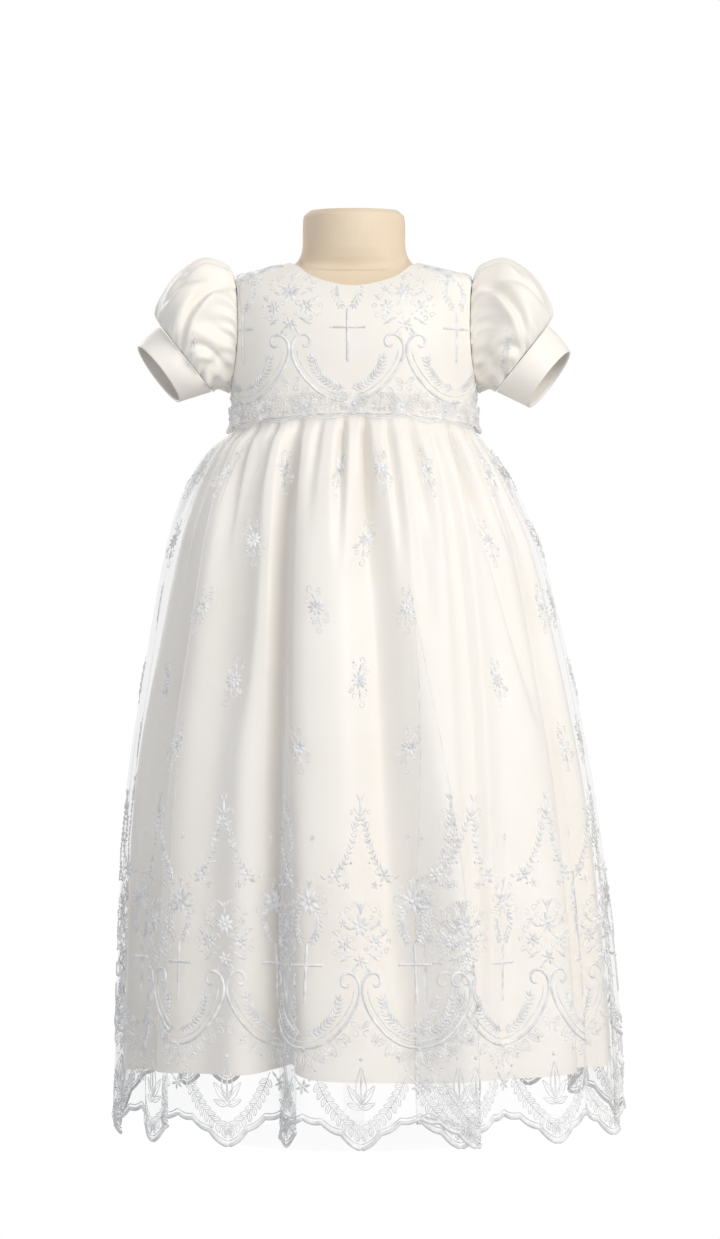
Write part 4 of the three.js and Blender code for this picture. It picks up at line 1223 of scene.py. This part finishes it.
def row_shares(count, crowding=1):
    return np.linspace(0, 1, count) ** crowding


def panel_grid(surface, bearings, heights):
    """Points of a surface at each bearing's own row of heights."""
    return surface(np.broadcast_to(bearings[:, None], heights.shape), heights)


def add_bodice(name, start, end):
    bearings = panel_bearings(start, end, BODICE_COLUMNS)
    low = waist_rise(bearings) - SEAM_LAP
    high = neck_rise(bearings)
    rises = low[:, None] + (high - low)[:, None] * row_shares(BODICE_ROWS, BODICE_CROWDING)
    grid = panel_grid(bodice_point, bearings, rises)
    points = grid.reshape(-1, 3)
    faces = grid_faces(*grid.shape[:2])
    share = armhole_share(points)
    faces = faces[(share[faces] >= 1).any(axis=1)]
    used = np.zeros(len(points), bool)
    used[faces.ravel()] = True
    rim = used & (share < 1)
    points[rim] = armhole_edge(points[rim], share[rim])
    index = np.cumsum(used) - 1
    uvs = np.column_stack([points[:, 0] + points[:, 1], points[:, 2]])
    return add_mesh(name, points[used], index[faces].tolist(), netted_satin, uvs[used])


def armhole_edge(place, share):
    """Points just inside an armhole, moved out to its edge."""
    y = place[:, 1] / share
    rise = ARMHOLE["rise"] + (place[:, 2] - WAIST_Z - ARMHOLE["rise"]) / share
    return joined(np.sign(place[:, 0]) * bodice_reach(y, rise), y, WAIST_Z + rise)


bodice_front = add_bodice("bodice_front_satin", -QUARTER, QUARTER)
bodice_right = add_bodice("bodice_back_right_satin", QUARTER, math.pi)
bodice_left = add_bodice("bodice_back_left_satin", math.pi, 3 * QUARTER)
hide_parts("bodice_front")
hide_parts("bodice_back_right")
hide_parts("bodice_back_left")


# Sleeves and cuffs
PUFF_GRID = (192, 65)
CUFF_GRID = (128, 21)


def tube_grid(side, columns, rows):
    """Angles round a sleeve and shares along it."""
    return np.meshgrid(ring_angles(columns) * side, row_shares(rows), indexing="ij")


def add_sleeve(name, side, mouth_sink):
    grid = sleeve_point(side)(*tube_grid(side, *PUFF_GRID))
    puff = add_cloth(f"sleeve_{name}_puff", grid, netted_satin, True)
    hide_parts(f"sleeve_{name}")
    at = tube_grid(side, *CUFF_GRID)
    surface = cuff_point(side, mouth_sink)
    outer = surface(*at)
    inward = -normals(surface, *at, CUFF_STEP * side, CUFF_STEP)[:, ::-1]
    inner = outer[:, ::-1] + inward * CUFF_CLOTH_GAP
    both = np.concatenate([outer, inner], axis=1)
    band = add_cloth(f"cuff_{name}_band", both, satin, True)
    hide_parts(f"cuff_{name}")
    return puff, band


sleeves = {name: add_sleeve(name, *values) for name, values in SIDES.items()}


# Skirt layers
LINING_GRID = (451, 91)
LINING_CROWDING = 1.3
LINING_WAVE = 2
LINING_DRAWN_UP = 8
NET_COLUMN = 2.2
NET_ROWS = 101
NET_CROWDING = 1.2


def lining_length(bearing):
    """The satin's drop, uneven along its hem and drawn up a little in the deepest fold."""
    fold = bearing_offset(MAIN_FOLD, bearing) / MAIN_FOLD_HALF
    level = LINING_LENGTH + waist_rise(bearing) + LINING_WAVE * np.sin(3 * bearing + 0.4)
    return level - LINING_DRAWN_UP * np.exp(-(fold**2))


def add_lining(name, start, end):
    columns, rows = LINING_GRID
    bearings = np.linspace(start, end, columns)
    drops = row_shares(rows, LINING_CROWDING) * lining_length(bearings)[:, None]
    return add_cloth(name, panel_grid(lining_point, bearings, drops), satin)


def add_net(name, start, end):
    repeats = np.linspace(start, end, int(round((end - start) * REPEAT_WIDTH / NET_COLUMN)) + 1)
    bearings = repeat_bearing(repeats)
    drops = row_shares(NET_ROWS, NET_CROWDING) * drop_at(bearings, edge_up(repeats))[:, None]
    grid = net_point(thread_bearing(np.broadcast_to(repeats[:, None], drops.shape), drops), drops)
    return add_cloth(name, grid, net)


underskirt_front = add_lining("underskirt_front_satin", -QUARTER, QUARTER)
underskirt_back = add_lining("underskirt_back_satin", QUARTER, 3 * QUARTER)
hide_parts("underskirt_front")
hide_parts("underskirt_back")

LEFT_SEAM = float(bearing_repeat(-QUARTER))
RIGHT_SEAM = float(bearing_repeat(QUARTER))
overskirt_front = add_net("overskirt_front_net", LEFT_SEAM, RIGHT_SEAM)
overskirt_back = add_net("overskirt_back_net", RIGHT_SEAM, LEFT_SEAM + REPEATS)
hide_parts("overskirt_front")
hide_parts("overskirt_back")


# Embroidery on the net
STITCH_LIFT = 0.25
SPRIG_LEAN = 0.3
SPRIG_LEAN_STEP = 3.7
SPRIG_REACH = 0.5
SPRIG_STEPS = 400

# Rows of sprigs: height above the tips, and bearings round the skirt
SPRIG_ROWS = [
    (287, (-52, -13, 13, 69, 100, 140, 180, 220, 262)),
    (335, (-64, -34, 1.5, 41, 82, 120, 160, 200, 240, 276)),
    (388, (-47, -10, 13, 70, 100, 140, 180, 220, 262)),
    (437, (-74, -32, 3.5, 46, 82, 120, 160, 200, 240)),
    (488, (-51, -25, -5, 10, 27, 57, 84, 110, 135, 160, 184, 210, 236, 260, 284)),
]


def raised(surface, u, v, heights, du, dv):
    """Points over a surface by their heights off it."""
    return surface(u, v) + normals(surface, u, v, du, dv) * (heights + STITCH_LIFT)[:, None]


def border_stitches(repeats):
    points, faces = merged(border_parts())
    placed = []
    for middle in repeats:
        u = middle + points[:, 0] / (2 * HALF)
        placed.append((raised(border_point, u, points[:, 1], points[:, 2], *BORDER_STEP), faces))
    return placed


def sprig_stitches(front):
    """The sprigs on the front or the back panel, each one leaning a little its own way."""
    sprig = merged(sprig_parts())
    placed = []
    for up, row in SPRIG_ROWS:
        for k, degrees in enumerate(row):
            if (degrees < 90) != front:
                continue
            bearing = math.radians(degrees)
            drop = float(drop_at(bearing, up))
            around = bearing + np.linspace(-SPRIG_REACH, SPRIG_REACH, SPRIG_STEPS + 1)
            lengths = arc_lengths(net_point(around, np.full(SPRIG_STEPS + 1, drop)))
            lean = SPRIG_LEAN * math.sin(SPRIG_LEAN_STEP * k + up)
            points, faces = moved(sprig, mirror=1 - 2 * (k % 2), turn=lean)
            u = np.interp(lengths[SPRIG_STEPS // 2] + points[:, 0], lengths, around)
            placed.append((raised(net_point, u, drop - points[:, 1], points[:, 2], *NET_STEP), faces))
    return placed


def add_stitches(name, placed, material):
    """Stitches as one mesh. They throw no shadow, as those in the photo leave hardly any on the satin."""
    points, faces = merged(placed)
    stitches = add_mesh(name, points, faces.tolist(), material)
    stitches.visible_shadow = False
    return stitches


def repeats_between(start, end, offset):
    return np.arange(math.ceil(start - offset), math.ceil(end - offset)) + offset


for name, start, end in (("front", LEFT_SEAM, RIGHT_SEAM), ("back", RIGHT_SEAM, LEFT_SEAM + REPEATS)):
    placed = border_stitches(repeats_between(start, end, 0.5)) + sprig_stitches(name == "front")
    add_stitches(f"border_embroidery_{name}", placed, thread)
    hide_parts(f"border_cord_{name}")


# Lace on the bodice
BODICE_STEPS = 1440
BODICE_BEARINGS = np.linspace(-math.pi, math.pi, BODICE_STEPS + 1)
BODICE_LENGTHS = arc_lengths(bodice_point(BODICE_BEARINGS, np.full(BODICE_STEPS + 1, LACE_LEVEL)))
BODICE_LENGTHS -= np.interp(BODICE_LACE["cross_bearing"], BODICE_BEARINGS, BODICE_LENGTHS)
BODICE_REPEAT = (BODICE_LENGTHS[-1] - BODICE_LENGTHS[0]) / BODICE_LACE["repeats"]
LACE_REPEATS = range(-3, 4)


def bodice_lace():
    """The lace's scrolls, crosses and flowers that fall between trim, neck and armholes."""
    parts = scroll_parts() + cross_parts() + wreath_parts() + garland_parts() + cluster_parts()
    placed = []
    for repeat in LACE_REPEATS:
        for points, faces in parts:
            along = (repeat + points[:, 0] / (2 * HALF)) * BODICE_REPEAT
            if along.min() < BODICE_LENGTHS[0] or along.max() > BODICE_LENGTHS[-1]:
                continue
            bearing = np.interp(along, BODICE_LENGTHS, BODICE_BEARINGS)
            rise = BODICE_LACE["foot_rise"] + (points[:, 1] - BODICE_LACE["foot"]) * BODICE_LACE["scale"]
            kept = faces[lace_fits(bearing, rise)[faces].all(axis=1)]
            if len(kept):
                placed.append((raised(bodice_point, bearing, rise, points[:, 2], *BAND_STEP), kept))
    return placed


def lace_fits(bearing, rise):
    """Which points of a stitch lie inside the bodice's edges, where the lace is cut."""
    middle = np.array([bearing.mean()])
    inside = rise > waist_rise(middle) + LACE_MARGINS["waist"]
    inside &= rise < neck_rise(middle) - LACE_MARGINS["neck"]
    inside &= np.abs(bearing_offset(bearing, math.pi)) > PLACKET["half_bearing"]
    return inside & (armhole_share(bodice_point(bearing, rise)) > LACE_MARGINS["armhole"])


bodice_embroidery = add_stitches("bodice_embroidery", bodice_lace(), thread)
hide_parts("bodice_cross", "bodice_scroll_left", "bodice_scroll_right")


# Waist trim
TRIM_COLUMNS = 512
TRIM_ROWS = 13
TRIM_RADIUS = 72
TRIM_CORDS = (0.7, 2.5, 4.3)


def trim_edge(bearing):
    return -TRIM_BELOW - TRIM_SCALLOP * np.abs(np.sin(TRIM_SCALLOPS / 2 * bearing))


def add_trim(name, start, end, node):
    bearings = panel_bearings(start, end, TRIM_COLUMNS)
    low = trim_edge(bearings)
    ups = low[:, None] + (TRIM_ABOVE - low)[:, None] * row_shares(TRIM_ROWS)
    grid = panel_grid(trim_point, bearings, ups)
    band = add_cloth(name, grid, lace_ground)
    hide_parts(node)
    return band


trims = [
    add_trim("waist_lace_front", -QUARTER, QUARTER, "waist_trim_front"),
    add_trim("waist_lace_back_right", QUARTER, math.pi, "waist_trim_back_right"),
    add_trim("waist_lace_back_left", math.pi, 3 * QUARTER, "waist_trim_back_left"),
]


def trim_parts():
    """Three cords along a scallop, a daisy over its joint and leaves between."""
    width = TURN / TRIM_SCALLOPS * TRIM_RADIUS
    middle = width / 2
    across = np.linspace(0, 1, 25)
    lobe = TRIM_SCALLOP * np.sin(math.pi * across)
    edges = [np.column_stack([across * width, -TRIM_BELOW - lobe + lift]) for lift in TRIM_CORDS]
    parts = [cord(edge, 1, 0.7) for edge in edges] + daisy((0, 4.8), 8, 12)
    parts += open_leaf((middle - 6, 5), 0.9, 8, 3.6) + open_leaf((middle + 6, 5), 2.2, 8, 3.6)
    parts += open_leaf((middle, 3.5), QUARTER, 9.5, 4)
    parts += flower((middle - 7.5, 10.5), 3, 6) + flower((middle + 7, 11), 3, 6)
    parts += branch([(8, 2.6), (middle, 1.4), (width - 8, 2.6)], 3.2, 1.5, 3.4, 0.8)
    return parts + [curl((5.5, 12), 1.8, math.pi, -1), curl((width - 5.5, 12), 1.8, 0, 1)]


def trim_stitches():
    points, faces = merged(trim_parts())
    placed = []
    for k in range(TRIM_SCALLOPS):
        bearing = TURN * k / TRIM_SCALLOPS - math.pi + points[:, 0] / TRIM_RADIUS
        placed.append((raised(trim_point, bearing, points[:, 1], points[:, 2], *BAND_STEP), faces))
    return placed


add_stitches("waist_lace_stitches", trim_stitches(), trim_thread)


# Sprigs on the sleeves. Rows: sleeve, angle from the top edge, share along, turn, size
SLEEVE_SPRIGS = [
    ("left", 1.75, 0.72, 0.5, 0.62),
    ("left", -1.4, 0.45, 0.3, 0.7),
    ("right", 1.95, 0.62, 1.2, 0.8),
    ("right", -1.4, 0.5, -0.3, 0.7),
]
PUFF_RADIUS = 40
PUFF_LENGTH = 70


def sleeve_stitches():
    sprig = merged(sprig_parts())
    placed = []
    for name, angle, along, turn, scale in SLEEVE_SPRIGS:
        side = SIDES[name][0]
        points, faces = moved(sprig, turn=turn, scale=scale)
        u = angle + points[:, 0] / PUFF_RADIUS
        v = along - points[:, 1] / PUFF_LENGTH
        place = raised(sleeve_point(side), u, v, points[:, 2], SLEEVE_STEP * side, SLEEVE_STEP)
        placed.append((place, faces if side < 0 else faces[:, ::-1]))
    return placed


add_stitches("sleeve_sprigs", sleeve_stitches(), thread)


# Back closing
PLACKET_GRID = (13, 61)


def add_placket():
    half = PLACKET["half_bearing"]
    columns, rows = PLACKET_GRID
    bearings = np.linspace(math.pi - half, math.pi + half, columns)
    rises = np.linspace(PLACKET["low"], PLACKET["high"], rows)
    at = np.meshgrid(bearings, rises, indexing="ij")
    inset = 1 - np.abs(at[0] - math.pi) / half
    fold = PLACKET["lift"] * np.minimum(1, inset * PLACKET_ROUNDING + PLACKET_EDGE)
    grid = bodice_point(*at) + normals(bodice_point, *at, *BODY_STEP) * fold[..., None]
    strip = add_cloth("placket_satin", grid, satin)
    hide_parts("back_placket")
    return strip


placket = add_placket()


def add_button(number, rise):
    """A domed button with a rim, standing on the strip."""
    at = (np.array([math.pi]), np.array([float(rise)]))
    out = normals(bodice_point, *at, *BODY_STEP)[0]
    foot = bodice_point(*at)[0]
    side = np.array([1.0, 0, 0])
    up = np.cross(out, side)
    radii, heights = np.array(BUTTON_PROFILE).T
    spokes = np.array([math.cos(a) * side + math.sin(a) * up for a in ring_angles(BUTTON_SIDES)])
    axis = foot + out * (BUTTON_LIFT + heights)[:, None]
    grid = axis + spokes[:, None] * radii[:, None]
    faces = grid_faces(*grid.shape[:2], True).tolist()
    button = add_mesh(f"pearl_button_{number}", grid.reshape(-1, 3), faces, pearl)
    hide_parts(f"back_button_{number}")


for number, rise in enumerate(BUTTON_RISES, 1):
    add_button(number, rise)
